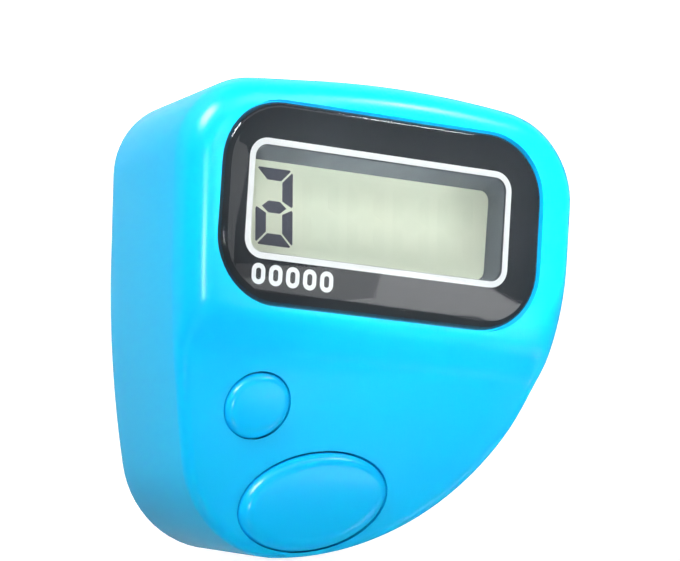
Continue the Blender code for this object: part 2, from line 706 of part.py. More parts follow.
def stud_low_z():
    """The stud ends flush with the tab's lower face."""
    return tab_z() - STRAP_THICK / 2


def lug_outline():
    """A hinge lug seen along Y: a round eye that widens into the cover."""
    pin_x, pin_z = pin_place()
    wide = STRAP_EYE_RADIUS
    round_part = [p for p, _ in arc((pin_x, pin_z), wide, math.pi, math.pi, math.radians(15))]
    top = BACK_Z + COVER_FLOOR / 2
    return round_part + [(pin_x + wide * 1.3, top), (pin_x - wide * 1.3, top)]


def strap_path():
    """Middle line of the strap in x and z: eye, left side, floor, right side, tab."""
    pin_x, pin_z = pin_place()
    right = strap_right_x()
    low = STRAP_THICK / 2
    corner = STRAP_CORNER
    small = STRAP_TAB_CORNER
    quarter = math.pi / 2
    fine = math.radians(10)
    path = [(pin_x, pin_z - STRAP_EYE_RADIUS * 0.8)]
    path += [p for p, _ in arc((pin_x + corner, low + corner), corner, math.pi, quarter, fine)]
    path += [p for p, _ in arc((right - corner, low + corner), corner, -quarter, quarter, fine)]
    turn = arc((right + small, tab_z() - small), small, math.pi, -quarter, math.radians(15))
    path += [p for p, _ in turn]
    path.append((stud_x() - STUD_RADIUS - STUD_CLEARANCE, tab_z()))
    return path


def make_strap():
    """Soft finger strap: a flat-bottomed loop with a hinge eye and a tab with holes."""
    near = LOOP_CENTRE[1] - STRAP_WIDTH / 2
    far = LOOP_CENTRE[1] + STRAP_WIDTH / 2
    strap = side_prism("strap", ribbon(strap_path(), STRAP_THICK), near, far, "strap_rubber")
    start = strap_right_x() + STRAP_TAB_CORNER
    middle = (start + STRAP_TAB / 2, LOOP_CENTRE[1])
    corners = [p for p, _ in rounded_box(middle, (STRAP_TAB, STRAP_WIDTH), STRAP_TAB_RADIUS)
               if p[0] > middle[0]]
    tab = [(start, near), *(p for p in corners if p[1] < middle[1]),
           *(p for p in corners if p[1] > middle[1]), (start, far)]
    join(strap, prism("strap_tab", tab, stud_low_z(), stud_low_z() + STRAP_THICK))
    pin_x, pin_z = pin_place()
    join(strap, side_cylinder("strap_eye", pin_x, pin_z, STRAP_EYE_RADIUS, near, far))
    cut(strap, side_cylinder("strap_eye_hole", pin_x, pin_z, PIN_RADIUS + SEAT_GAP,
                             near - OVERLAP, far + OVERLAP))
    for i in range(2):
        spot = (stud_x() + i * STRAP_HOLE_PITCH, LOOP_CENTRE[1])
        cut(strap, cylinder(f"strap_hole_{i}", spot, STUD_RADIUS + STUD_CLEARANCE,
                            stud_low_z() - OVERLAP, BACK_Z))
    return strap


def make_strap_pin():
    """Steel pin through the lugs and the strap's eye."""
    pin_x, pin_z = pin_place()
    reach = STRAP_WIDTH / 2 + RUN_GAP + LUG_THICK
    return side_cylinder("strap_pin", pin_x, pin_z, PIN_RADIUS, LOOP_CENTRE[1] - reach,
                         LOOP_CENTRE[1] + reach, "screw_steel")


def make_lens():
    """Clear cover with a rounded rim, seated in the plateau."""
    outline = rounded_box(LENS_CENTRE, LENS_SIZE, LENS_RADIUS, math.radians(7.5))
    rings = [ring_at(inset(outline, 0.0), LENS_FLOOR_Z + SEAT_GAP)]
    turns = 4
    for k in range(turns + 1):
        angle = math.pi / 2 * k / turns
        rings.append(ring_at(inset(outline, LENS_EDGE * (1 - math.cos(angle))),
                             FRONT_Z + LENS_PROUD - LENS_EDGE * (1 - math.sin(angle))))
    return add_object("display_lens", loft(rings), "lens_acrylic")


def glass_box():
    """Low and high corners, in x and y, of the front glass."""
    half_w = WINDOW_SIZE[0] / 2 + GLASS_MARGIN[0]
    half_h = WINDOW_SIZE[1] / 2 + GLASS_MARGIN[1]
    x, y = WINDOW_CENTRE
    return (x - half_w, y - half_h - GLASS_LEDGE), (x + half_w, y + half_h)


def make_display_frame():
    """Dark carrier: a funnel behind the lens and a pocket that holds the glass."""
    (x0, y0), (x1, y1) = glass_box()
    grow = RUN_GAP + FRAME_WALL
    middle = ((x0 + x1) / 2, (y0 + y1) / 2)
    size = (x1 - x0, y1 - y0)
    body = rounded_box(middle, [s + 2 * grow for s in size], FRAME_WALL)
    shoulder = FRONT_Z - DISPLAY_WALL - SEAT_GAP
    frame = prism("display_frame", [p for p, _ in body], BOARD_TOP_Z + SEAT_GAP, shoulder,
                  "dark_plastic")
    lip = rounded_box(WINDOW_CENTRE, [s + 2 * FRAME_LIP for s in WINDOW_SIZE],
                      WINDOW_RADIUS + FRAME_LIP)
    top = LENS_FLOOR_Z - RUN_GAP
    join(frame, prism("frame_lip", [p for p, _ in lip], shoulder - OVERLAP, top))
    left, right, low, high = WINDOW_FUNNEL
    upper = inset(rounded_box(WINDOW_CENTRE, WINDOW_SIZE, WINDOW_RADIUS), 0.0)
    narrow = (WINDOW_CENTRE[0] + (left - right) / 2, WINDOW_CENTRE[1] + (low - high) / 2)
    size_in = (WINDOW_SIZE[0] - left - right, WINDOW_SIZE[1] - low - high)
    lower = inset(rounded_box(narrow, size_in, WINDOW_RADIUS - min(WINDOW_FUNNEL)), 0.0)
    glass_top = GLASS_Z + FILM_GAP
    rings = [ring_at(lower, glass_top - OVERLAP), ring_at(lower, glass_top),
             ring_at(upper, top), ring_at(upper, top + OVERLAP)]
    cut(frame, add_object("window_funnel", loft(rings)))
    pocket = [s + 2 * RUN_GAP for s in size]
    cut(frame, prism("glass_pocket", [p for p, _ in rounded_box(middle, pocket, RUN_GAP)],
                     BOARD_TOP_Z - OVERLAP, glass_top))
    return frame


def make_display():
    """Film, two glasses, reflector, contact strip and foam pad behind the window."""
    (x0, y0), (x1, y1) = glass_box()
    rear_y = y0 + GLASS_LEDGE
    film_in = FILM_INSET
    top = GLASS_Z
    block("lcd_polariser", (x0 + film_in, rear_y, top - FILM_THICK), (x1 - film_in, y1 - film_in, top),
          "lcd_film")
    top -= FILM_THICK + FILM_GAP
    block("lcd_front_glass", (x0, y0, top - GLASS_THICK), (x1, y1, top), "lcd_glass")
    ledge_z = top - GLASS_THICK - FILM_GAP
    block("lcd_rear_glass", (x0, rear_y, ledge_z - GLASS_THICK), (x1, y1, ledge_z), "lcd_glass")
    top = ledge_z - GLASS_THICK - FILM_GAP
    low = top - FILM_THICK
    block("lcd_reflector", (x0 + film_in, rear_y + film_in, low), (x1 - film_in, y1 - film_in, top),
          "reflector_film")
    zebra_y = y0 + (GLASS_LEDGE - ZEBRA_WIDTH) / 2
    block("zebra_strip", (x0 + film_in, zebra_y, BOARD_TOP_Z + FILM_GAP),
          (x1 - film_in, zebra_y + ZEBRA_WIDTH, ledge_z), "zebra_rubber")
    mid_x, mid_y = (x0 + x1) / 2, (rear_y + y1) / 2
    block("display_pad", (mid_x - PAD_SIZE[0] / 2, mid_y - PAD_SIZE[1] / 2, BOARD_TOP_Z + FILM_GAP),
          (mid_x + PAD_SIZE[0] / 2, mid_y + PAD_SIZE[1] / 2, low - FILM_GAP), "foam")


def make_board(outline):
    """Circuit board cut to the case, with clearance holes for every screw."""
    coarse = inset(outline, CAVITY_INSET + BOARD_CLEARANCE)
    board = prism("circuit_board", coarse, BOARD_LOW_Z, BOARD_TOP_Z, "board_green")
    for name, spot in {**CASE_BOSSES, **BOARD_BOSSES}.items():
        screw = CASE_SCREW_RADIUS if name in CASE_BOSSES else BOARD_SCREW_RADIUS
        cut(board, cylinder(name + "_board_hole", spot, screw + RUN_GAP, BOARD_LOW_Z - OVERLAP,
                            BOARD_TOP_Z + OVERLAP, sides=16))
    return board


def make_screw(name, spot, head, radius, under_head, reach):
    """Screw that points up: a rounded head below, a shank and a short point."""
    head_radius, head_height = head
    tip = radius * 0.8
    profile = [(0.0, reach), (radius * 0.4, reach), (radius, reach - tip), (radius, under_head),
               (head_radius, under_head), (head_radius, under_head - head_height * 0.5),
               (head_radius * 0.75, under_head - head_height * 0.9),
               (0.0, under_head - head_height)]
    return turned(name, spot, profile, "screw_steel", 20)


def make_screws():
    """Long screws through the back cover's pillars and short ones that hold the board."""
    shelf_low = BOARD_LOW_Z - SEAT_GAP - PILLAR_SHELF
    for name, spot in CASE_BOSSES.items():
        make_screw(name, spot, CASE_SCREW_HEAD, CASE_SCREW_RADIUS, shelf_low - SEAT_GAP,
                   BOARD_TOP_Z + CASE_SCREW_BITE)
    for name, spot in BOARD_BOSSES.items():
        make_screw(name, spot, BOARD_SCREW_HEAD, BOARD_SCREW_RADIUS, BOARD_LOW_Z - SEAT_GAP,
                   BOARD_TOP_Z + BOARD_SCREW_BITE)


def make_button(name, centre, radii, tilt, proud, edge, switch, stem, outline):
    """Cap with a rounded edge, a flange that keeps it in the case, and a stem."""
    def level(above):
        return lambda y: face_z_lower(y) + above

    def under(below):
        return lambda y: ceiling_z(y) - below

    shape = ellipse(centre, radii, tilt)
    turns = 5
    rings = [ring_at(inset(shape, 0.0), under(SEAT_GAP + OVERLAP)),
             ring_at(inset(shape, 0.0), level(proud - edge))]
    for k in range(1, turns + 1):
        angle = math.pi / 2 * k / turns
        rings.append(ring_at(inset(shape, edge * (1 - math.cos(angle))),
                             level(proud - edge * (1 - math.sin(angle)))))
    cap = add_object(name, loft(rings), "cyan_plastic")
    wide = ellipse(centre, radii, tilt, BUTTON_GAP + FLANGE_WIDTH)
    flange = add_object(name + "_flange", loft([
        ring_at(inset(wide, 0.0), under(SEAT_GAP + FLANGE_THICK)),
        ring_at(inset(wide, 0.0), under(SEAT_GAP))]))
    room = prism(name + "_room", inset(outline, CAVITY_INSET + RUN_GAP), BOARD_TOP_Z, FRONT_Z)
    combine(flange, "INTERSECT", [room])
    join(cap, flange)
    dome_top = BOARD_TOP_Z + MAT_THICK + DOME_HEIGHT
    join(cap, cylinder(name + "_stem", switch, stem, dome_top + 2 * SEAT_GAP,
                       ceiling_z(switch[1]) - SEAT_GAP - FLANGE_THICK + OVERLAP, sides=20))
    return cap


def face_z_lower(y):
    """Plane of the lower face, carried on without the step."""
    return FRONT_Z - STEP_DROP - FACE_SLOPE * (STEP_TOP_Y - y)


def make_dome(name, spot, radius, finish):
    """Rubber dome that stands on the mat and gives when the button is pressed."""
    low = BOARD_TOP_Z + MAT_THICK + SEAT_GAP
    top = BOARD_TOP_Z + MAT_THICK + DOME_HEIGHT
    skirt = radius * 0.55
    profile = [(0.0, top), (skirt, top), (skirt * 1.1, top - DOME_HEIGHT * 0.35),
               (radius, low + DOME_HEIGHT * 0.15), (radius, low), (0.0, low)]
    return turned(name, spot, profile, finish, 20)


def make_keypad():
    """Silicone mat on the board with one dome under each button."""
    mat = prism("keypad_mat", stadium(RESET_SWITCH, COUNT_SWITCH, MAT_RADIUS),
                BOARD_TOP_Z + SEAT_GAP, BOARD_TOP_Z + MAT_THICK, "silicone")
    for name, spot in (("count", COUNT_SWITCH), ("reset", RESET_SWITCH)):
        cut(mat, cylinder(name + "_contact_hole", spot, RESET_STEM_RADIUS, BOARD_TOP_Z,
                          BOARD_TOP_Z + MAT_THICK + OVERLAP, sides=16))
    make_dome("count_dome", COUNT_SWITCH, COUNT_DOME_RADIUS, "silicone")
    make_dome("reset_dome", RESET_SWITCH, RESET_DOME_RADIUS, "silicone")


def make_power():
    """Button cell in a ring on the back of the board, between two sheet contacts."""
    x, y = CELL_CENTRE
    top = BOARD_LOW_Z - SEAT_GAP
    cell_top = top - 3 * CONTACT_THICK
    cell_low = cell_top - CELL_THICK
    rim = CELL_RIM
    can = CELL_RADIUS - rim
    turned("battery_cell", CELL_CENTRE,
           [(0.0, cell_top), (can - 2 * rim, cell_top), (can - rim, cell_top - rim),
            (CELL_RADIUS, cell_top - 2 * rim), (CELL_RADIUS, cell_low + rim), (can, cell_low),
            (0.0, cell_low)], "cell_steel", 32)
    bore = CELL_RADIUS + RUN_GAP
    holder = cylinder("battery_holder", CELL_CENTRE, bore + HOLDER_WALL, cell_low + 2 * rim, top,
                      "dark_plastic", sides=32)
    cut(holder, cylinder("holder_bore", CELL_CENTRE, bore, cell_low - rim, top + OVERLAP, sides=32))
    half = CONTACT_WIDTH / 2
    thick = CONTACT_THICK
    flat = top - thick / 2
    spring = [(x - bore * 0.6, flat), (x - bore * 0.1, flat), (x + bore * 0.2, cell_top + thick),
              (x + bore * 0.45, cell_top + thick)]
    side_prism("battery_negative_contact", ribbon(spring, thick), y - half, y + half,
               "contact_steel")
    out = x - bore - HOLDER_WALL - RUN_GAP - thick / 2
    over = cell_low - SEAT_GAP - thick / 2
    clip = [(out - 3 * thick, flat), (out, flat), (out, over), (x + bore * 0.4, over)]
    side_prism("battery_positive_contact", ribbon(clip, thick), y - half, y + half,
               "contact_steel")


def make_small_parts():
    """Chip under its drop of resin, one capacitor and one resistor, on the board's back."""
    top = BOARD_LOW_Z - FILM_GAP
    rim = CHIP_HEIGHT * 0.2
    turned("driver_chip", CHIP_CENTRE,
           [(0.0, top), (CHIP_RADIUS, top), (CHIP_RADIUS * 0.95, top - rim),
            (CHIP_RADIUS * 0.75, top - CHIP_HEIGHT * 0.65),
            (CHIP_RADIUS * 0.45, top - CHIP_HEIGHT * 0.92), (0.0, top - CHIP_HEIGHT)],
           "epoxy_black", 24)
    for name, spot, size in (("chip_capacitor", CAPACITOR_CENTRE, CAPACITOR_SIZE),
                             ("chip_resistor", RESISTOR_CENTRE, RESISTOR_SIZE)):
        block(name, (spot[0] - size[0] / 2, spot[1] - size[1] / 2, top - size[2]),
              (spot[0] + size[0] / 2, spot[1] + size[1] / 2, top), "ceramic_tan")


def main():
    """Build every part of the counter."""
    outline = rounded_outline(CASE_CORNERS, OUTLINE_STEP)
    coarse = rounded_outline(CASE_CORNERS, COARSE_STEP, math.radians(10))
    make_front_shell(outline)
    make_back_cover(coarse)
    make_lens()
    make_display_frame()
    make_display()
    make_board(coarse)
    make_button("count_button", COUNT_CENTRE, COUNT_RADII, COUNT_TILT, COUNT_PROUD, COUNT_EDGE,
                COUNT_SWITCH, COUNT_STEM_RADIUS, coarse)
    make_button("reset_button", RESET_CENTRE, RESET_RADII, RESET_TILT, RESET_PROUD, RESET_EDGE,
                RESET_SWITCH, RESET_STEM_RADIUS, coarse)
    make_keypad()
    make_power()
    make_small_parts()
    make_screws()
    make_strap()
    make_strap_pin()


main()
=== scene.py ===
"""Looks of the digital finger counter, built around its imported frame.

The frame gives every solid. This script gives each solid its finish, rounds the soft parts, adds
the prints, the display's segments and the screws' threads and recesses, and sets the camera,
floor and lamps.
"""

import logging
import math
from collections.abc import Iterable
from dataclasses import dataclass, field
from enum import Enum

import bmesh
import bpy
from bmesh.types import BMVert
from bpy.types import (ID, Material, Mesh, Node, NodeSocket, NodeTree, Object,
                       bpy_prop_collection)
from mathutils import Matrix, Vector


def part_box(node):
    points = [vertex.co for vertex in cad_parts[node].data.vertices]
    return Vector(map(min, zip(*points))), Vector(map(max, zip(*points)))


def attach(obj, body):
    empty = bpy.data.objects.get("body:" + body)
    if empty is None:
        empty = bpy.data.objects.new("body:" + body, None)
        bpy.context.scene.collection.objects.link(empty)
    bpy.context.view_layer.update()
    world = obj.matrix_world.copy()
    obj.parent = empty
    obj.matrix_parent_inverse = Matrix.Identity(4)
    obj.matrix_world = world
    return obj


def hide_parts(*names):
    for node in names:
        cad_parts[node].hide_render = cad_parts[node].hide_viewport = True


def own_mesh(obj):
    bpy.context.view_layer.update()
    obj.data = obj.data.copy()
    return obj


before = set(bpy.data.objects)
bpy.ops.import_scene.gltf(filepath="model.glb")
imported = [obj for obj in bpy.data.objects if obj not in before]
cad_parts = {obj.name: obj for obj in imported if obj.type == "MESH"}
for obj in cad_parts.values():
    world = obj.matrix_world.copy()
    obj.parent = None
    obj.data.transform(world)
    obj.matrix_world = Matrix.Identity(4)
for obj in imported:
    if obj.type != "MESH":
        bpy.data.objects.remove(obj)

MM = 0.001
SMOOTH_ANGLE = math.radians(32)    # faces that meet at less than this are shaded as one
WELD = 0.002 * MM                  # points nearer than this become one
WHITE = (1.0, 1.0, 1.0, 1.0)

Colour = tuple[float, float, float]
Point = tuple[float, float]
Spot = tuple[float, float, float]
Tone = tuple[float, float, float, float]
Ring = list[BMVert]

log = logging.getLogger("finger_counter")


class Effect(Enum):
    """The shader node groups that several finishes share."""

    GRAIN = "moulded_grain"
    MARKS = "handling_marks"
    BRUSHED = "drawn_metal_lines"
    FLECKS = "fine_flecks"


class Body(Enum):
    """The bodies that the added pieces ride on."""

    CASE = "case"
    STRAP = "strap"


class Form(Enum):
    """The three shapes of bar in a seven-segment digit."""

    LEVEL = "level bar at the bottom"
    UPRIGHT = "lower left bar"
    MIDDLE = "middle bar"


class Segment(Enum):
    """One bar of a digit: its form, and whether that is mirrored in x and in y."""

    TOP = (Form.LEVEL, False, True)
    UPPER_LEFT = (Form.UPRIGHT, False, True)
    UPPER_RIGHT = (Form.UPRIGHT, True, True)
    MIDDLE = (Form.MIDDLE, False, False)
    LOWER_LEFT = (Form.UPRIGHT, False, False)
    LOWER_RIGHT = (Form.UPRIGHT, True, False)
    BOTTOM = (Form.LEVEL, False, False)


class NodeSheet:
    """Adds and links the nodes of one node tree, and lays them out in columns."""

    column_width: int = 190
    row_drop: int = 40
    rows: int = 3
    noise_low: float = 0.3     # the span in which most of a noise field's values lie
    noise_high: float = 0.7

    def __init__(self, tree: NodeTree) -> None:
        """Start on a tree.

        Args:
            tree: The node tree that the nodes go into.
        """
        self.tree = tree
        self.column = 0

    def add(self, kind: str, settings: dict | None = None, **values: object) -> Node:
        """Add a node.

        Args:
            kind: The node's type.
            settings: Properties of the node itself.
            **values: Its inputs by name, as fill takes them.

        Returns:
            The new node.
        """
        node = self.tree.nodes.new(kind)
        node.location = (self.column * self.column_width,
                         -self.row_drop * (self.column % self.rows))
        self.column += 1
        for key, value in (settings or {}).items():
            setattr(node, key, value)
        self.fill(node, **values)
        return node

    def fill(self, node: Node, numbered: dict[int, object] | None = None,
             **named: object) -> None:
        """Set or link a node's inputs.

        Args:
            node: The node.
            numbered: Inputs by number: a value, or a socket to link from.
            **named: Inputs by name, with _ for a space, in the same way.
        """
        wanted = {key.replace("_", " "): value for key, value in named.items()}
        for key, value in {**(numbered or {}), **wanted}.items():
            if isinstance(value, NodeSocket):
                self.tree.links.new(value, node.inputs[key])
            else:
                node.inputs[key].default_value = value

    def coordinates(self) -> NodeSocket:
        """Add the object's own coordinates and give their socket."""
        return self.add("ShaderNodeTexCoord").outputs["Object"]

    def blend(self, share: object, first: object, second: object) -> NodeSocket:
        """Mix two colours.

        Args:
            share: How much of the second colour, as a value or a socket.
            first: Colour or socket.
            second: Colour or socket.

        Returns:
            The socket of the mixed colour.
        """
        node = self.add("ShaderNodeMix", {"data_type": "RGBA"})
        self.fill(node, {0: share, 6: first, 7: second})
        return node.outputs[2]

    def calc(self, operation: str, first: object, second: object) -> NodeSocket:
        """Combine two numbers with a Math node.

        Args:
            operation: The Math node's operation.
            first: Number or socket.
            second: Number or socket.

        Returns:
            The socket of the result.
        """
        node = self.add("ShaderNodeMath", {"operation": operation})
        self.fill(node, {0: first, 1: second})
        return node.outputs[0]

    def noise(self, place: object, scale: object, detail: float = 2.0) -> NodeSocket:
        """Add a noise field and give the socket of its value."""
        node = self.add("ShaderNodeTexNoise", Vector=place, Scale=scale, Detail=detail)
        return node.outputs[0]

    def spread(self, value: object, low: object, high: object) -> NodeSocket:
        """Stretch the middle of a noise field over the span from low to high."""
        node = self.add("ShaderNodeMapRange", Value=value, From_Min=self.noise_low,
                        From_Max=self.noise_high, To_Min=low, To_Max=high)
        return node.outputs[0]


class MaterialSheet(NodeSheet):
    """The sheet of a new material, with the material's own shader."""

    def __init__(self, name: str) -> None:
        """Make the material.

        Args:
            name: The material's name.
        """
        self.material = bpy.data.materials.new(name)
        self.material.use_nodes = True
        super().__init__(self.material.node_tree)
        self.shader = self.tree.nodes["Principled BSDF"]

    def open_up(self, share: object, colour: Tone = WHITE) -> None:
        """Make the material clear for a share of the rays.

        Args:
            share: The share, as a value or a socket.
            colour: The tint of the light that passes.
        """
        clear = self.add("ShaderNodeBsdfTransparent", Color=colour)
        mix = self.add("ShaderNodeMixShader")
        self.fill(mix, {0: share, 1: self.shader.outputs[0], 2: clear.outputs[0]})
        self.fill(self.tree.nodes["Material Output"], Surface=mix.outputs[0])


class EffectGroups:
    """Makes each shared node group once and places it in the materials."""

    fine_share: float = 0.4        # of the fine grain in the tone, beside the slow patches
    mark_ways: tuple[tuple[float, Spot], ...] = (    # turn and scale of each run of marks
        (0.5, (3200.0, 120.0, 900.0)), (-0.9, (120.0, 2600.0, 800.0)))
    mark_span: Point = (0.66, 0.74)    # values of the noise over which a mark comes in
    line_scale: Spot = (300.0, 6000.0, 6000.0)
    bloom_scale: float = 500.0
    tone_share: float = 0.3        # of the cells' scale
    # inputs that several groups have, with their defaults
    tones: dict[str, Tone] = {"Colour": (0.5, 0.5, 0.5, 1.0), "Tint": (0.4, 0.4, 0.4, 1.0)}
    roughs: dict[str, float] = {"Rough Low": 0.3, "Rough High": 0.4}

    def __init__(self) -> None:
        """Start with no groups made."""
        self.made: dict[Effect, NodeTree] = {}

    def use(self, sheet: NodeSheet, effect: Effect, **values: object) -> Node:
        """Place a shared group, which is made on first use.

        Args:
            sheet: The sheet that takes it.
            effect: Which shared effect.
            **values: The group's inputs by name, with _ for a space.

        Returns:
            The group's node.
        """
        if effect not in self.made:
            makers = {Effect.GRAIN: self.grain, Effect.MARKS: self.marks,
                      Effect.BRUSHED: self.brushed, Effect.FLECKS: self.flecks}
            self.made[effect] = makers[effect]()
        return sheet.add("ShaderNodeGroup", {"node_tree": self.made[effect]}, **values)

    def start(self, effect: Effect, inputs: dict[str, object],
              outputs: tuple[str, ...]) -> tuple[NodeSheet, bpy_prop_collection, Node]:
        """Open a group with its sockets.

        Args:
            effect: The effect that the group makes.
            inputs: Socket names with their defaults; a colour has four numbers.
            outputs: Socket names; each but Colour is a number.

        Returns:
            The sheet of the group, the sockets of its inputs and its output node.
        """
        tree = bpy.data.node_groups.new(effect.value, "ShaderNodeTree")
        for name, default in inputs.items():
            kind = "NodeSocketColor" if isinstance(default, tuple) else "NodeSocketFloat"
            socket = tree.interface.new_socket(name=name, in_out="INPUT", socket_type=kind)
            socket.default_value = default
        for name in outputs:
            kind = "NodeSocketColor" if name == "Colour" else "NodeSocketFloat"
            tree.interface.new_socket(name=name, in_out="OUTPUT", socket_type=kind)
        sheet = NodeSheet(tree)
        return sheet, sheet.add("NodeGroupInput").outputs, sheet.add("NodeGroupOutput")

    def grain(self) -> NodeTree:
        """Slow change of tone and a fine relief, as moulded plastic and rubber have.

        Returns:
            The node group.
        """
        sheet, given, out = self.start(
            Effect.GRAIN,
            {**self.tones, "Patch Scale": 200.0, "Grain Scale": 3000.0, **self.roughs},
            ("Colour", "Roughness", "Height"))
        place = sheet.coordinates()
        patch = sheet.noise(place, given["Patch Scale"], 3.0)
        fine = sheet.noise(place, given["Grain Scale"], 4.0)
        slow = sheet.calc("MULTIPLY", sheet.spread(patch, 0.0, 1.0), 1.0 - self.fine_share)
        share = sheet.calc("ADD", sheet.calc("MULTIPLY", fine, self.fine_share), slow)
        colour = sheet.blend(share, given["Colour"], given["Tint"])
        rough = sheet.spread(patch, given["Rough Low"], given["Rough High"])
        sheet.fill(out, Colour=colour, Roughness=rough, Height=fine)
        return sheet.tree

    def marks(self) -> NodeTree:
        """Faint hairline marks in two directions, as handling leaves.

        Returns:
            The node group.
        """
        sheet, given, out = self.start(Effect.MARKS, {"Amount": 0.5}, ("Mask",))
        place = sheet.coordinates()
        masks = []
        for turn, scale in self.mark_ways:
            turned = sheet.add("ShaderNodeMapping", Vector=place, Rotation=(0.0, 0.0, turn),
                               Scale=scale)
            lines = sheet.noise(turned.outputs[0], 1.0, 1.0)
            peak = sheet.add("ShaderNodeMapRange", Value=lines, From_Min=self.mark_span[0],
                             From_Max=self.mark_span[1])
            masks.append(peak.outputs[0])
        both = sheet.calc("MAXIMUM", *masks)
        sheet.fill(out, Mask=sheet.calc("MULTIPLY", both, given["Amount"]))
        return sheet.tree

    def brushed(self) -> NodeTree:
        """Drawn lines of rolled and turned metal.

        Returns:
            The node group.
        """
        sheet, given, out = self.start(Effect.BRUSHED, {**self.tones, **self.roughs},
                                       ("Colour", "Roughness", "Height"))
        place = sheet.coordinates()
        drawn = sheet.add("ShaderNodeMapping", Vector=place, Scale=self.line_scale)
        lines = sheet.noise(drawn.outputs[0], 1.0, 3.0)
        bloom = sheet.noise(place, self.bloom_scale, 3.0)
        share = sheet.calc("MULTIPLY", sheet.spread(bloom, 0.2, 1.0),
                           sheet.spread(lines, 0.3, 1.0))
        colour = sheet.blend(share, given["Colour"], given["Tint"])
        rough = sheet.spread(lines, given["Rough Low"], given["Rough High"])
        sheet.fill(out, Colour=colour, Roughness=rough, Height=lines)
        return sheet.tree

    def flecks(self) -> NodeTree:
        """Small cells with their own tone, as foam, ceramic, paper and solder mask show.

        Returns:
            The node group.
        """
        sheet, given, out = self.start(Effect.FLECKS, {**self.tones, "Scale": 3000.0},
                                       ("Colour", "Height"))
        place = sheet.coordinates()
        scale = given["Scale"]
        cells = sheet.add("ShaderNodeTexVoronoi", Vector=place, Scale=scale).outputs["Distance"]
        tone = sheet.noise(place, sheet.calc("MULTIPLY", scale, self.tone_share), 2.0)
        share = sheet.calc("MULTIPLY", cells, sheet.spread(tone, 0.3, 1.4))
        colour = sheet.blend(share, given["Colour"], given["Tint"])
        sheet.fill(out, Colour=colour, Height=cells)
        return sheet.tree


GROUPS = EffectGroups()


@dataclass(frozen=True)
class Finish:
    """A solid finish: plastic, rubber, ink or resin with a fine grain and a change of tone.

    Sizes are in millimetres: patch is the size of the slow change, grain that of the relief,
    relief its height, and bleed how far light spreads below the surface. Rough is the range of
    the roughness, marks what hairline marks add to it, and gloss the shader's specular level.
    """

    name: str
    colour: Colour
    tint: Colour
    rough: Point = (0.3, 0.4)
    patch: float = 6.0
    grain: float = 0.35
    relief: float = 0.002
    marks: float = 0.0
    metallic: float = 0.0
    coat: float = 0.0
    coat_rough: float = 0.08
    ior: float = 1.46
    gloss: float = 0.5
    bleed: float = 0.0
    bleed_share: float = 0.5
    bleed_reach: Colour = (0.3, 0.8, 1.0)    # of red, green and blue, as shares of bleed
    slot: str = ""

    def material(self) -> Material:
        """Give the material, made on first use.

        Returns:
            The material with its node tree.
        """
        found = bpy.data.materials.get(self.name)
        if found:
            return found
        sheet = MaterialSheet(self.name)
        sheet.material.diffuse_color = (*self.colour, 1.0)
        sheet.fill(sheet.shader, Metallic=self.metallic, IOR=self.ior, Coat_Weight=self.coat,
                   Coat_Roughness=self.coat_rough, Specular_IOR_Level=self.gloss)
        if self.bleed:
            sheet.fill(sheet.shader, Subsurface_Weight=self.bleed_share,
                       Subsurface_Scale=self.bleed * MM, Subsurface_Radius=self.bleed_reach)
        self.dress(sheet)
        return sheet.material

    def tones(self) -> dict[str, Tone]:
        """The two colours, as a shared group takes them."""
        return {"Colour": (*self.colour, 1.0), "Tint": (*self.tint, 1.0)}

    def surface(self, sheet: MaterialSheet) -> Node:
        """Place the group that gives colour, roughness and height."""
        return GROUPS.use(sheet, Effect.GRAIN, **self.tones(),
                          Patch_Scale=1.0 / (self.patch * MM), Grain_Scale=1.0 / (self.grain * MM),
                          Rough_Low=self.rough[0], Rough_High=self.rough[1])

    def dress(self, sheet: MaterialSheet) -> None:
        """Link the surface's nodes to the shader.

        Args:
            sheet: The material's sheet.
        """
        node = self.surface(sheet)
        rough = node.outputs["Roughness"]
        if self.marks:
            marks = GROUPS.use(sheet, Effect.MARKS, Amount=self.marks)
            rough = sheet.calc("ADD", rough, marks.outputs["Mask"])
        self.link(sheet, node, rough)

    def link(self, sheet: MaterialSheet, node: Node, rough: NodeSocket) -> None:
        """Link colour, roughness and relief to the shader.

        Args:
            sheet: The material's sheet.
            node: The group's node, which gives colour and height.
            rough: The roughness.
        """
        bump = sheet.add("ShaderNodeBump", Strength=1.0, Distance=self.relief * MM,
                         Height=node.outputs["Height"])
        sheet.fill(sheet.shader, Base_Color=node.outputs["Colour"], Roughness=rough,
                   Normal=bump.outputs[0])


@dataclass(frozen=True)
class DrawnMetal(Finish):
    """Metal with drawn lines and a little bloom."""

    metallic: float = 1.0
    relief: float = 0.003

    def surface(self, sheet: MaterialSheet) -> Node:
        """Place the group of drawn lines."""
        return GROUPS.use(sheet, Effect.BRUSHED, **self.tones(), Rough_Low=self.rough[0],
                          Rough_High=self.rough[1])


@dataclass(frozen=True)
class Flecked(Finish):
    """Foam, ceramic or solder mask with small cells."""

    def dress(self, sheet: MaterialSheet) -> None:
        """Link the cells' colour and height to the shader.

        Args:
            sheet: The material's sheet.
        """
        node = GROUPS.use(sheet, Effect.FLECKS, **self.tones(), Scale=1.0 / (self.grain * MM))
        self.link(sheet, node, sheet.spread(node.outputs["Height"], *self.rough))


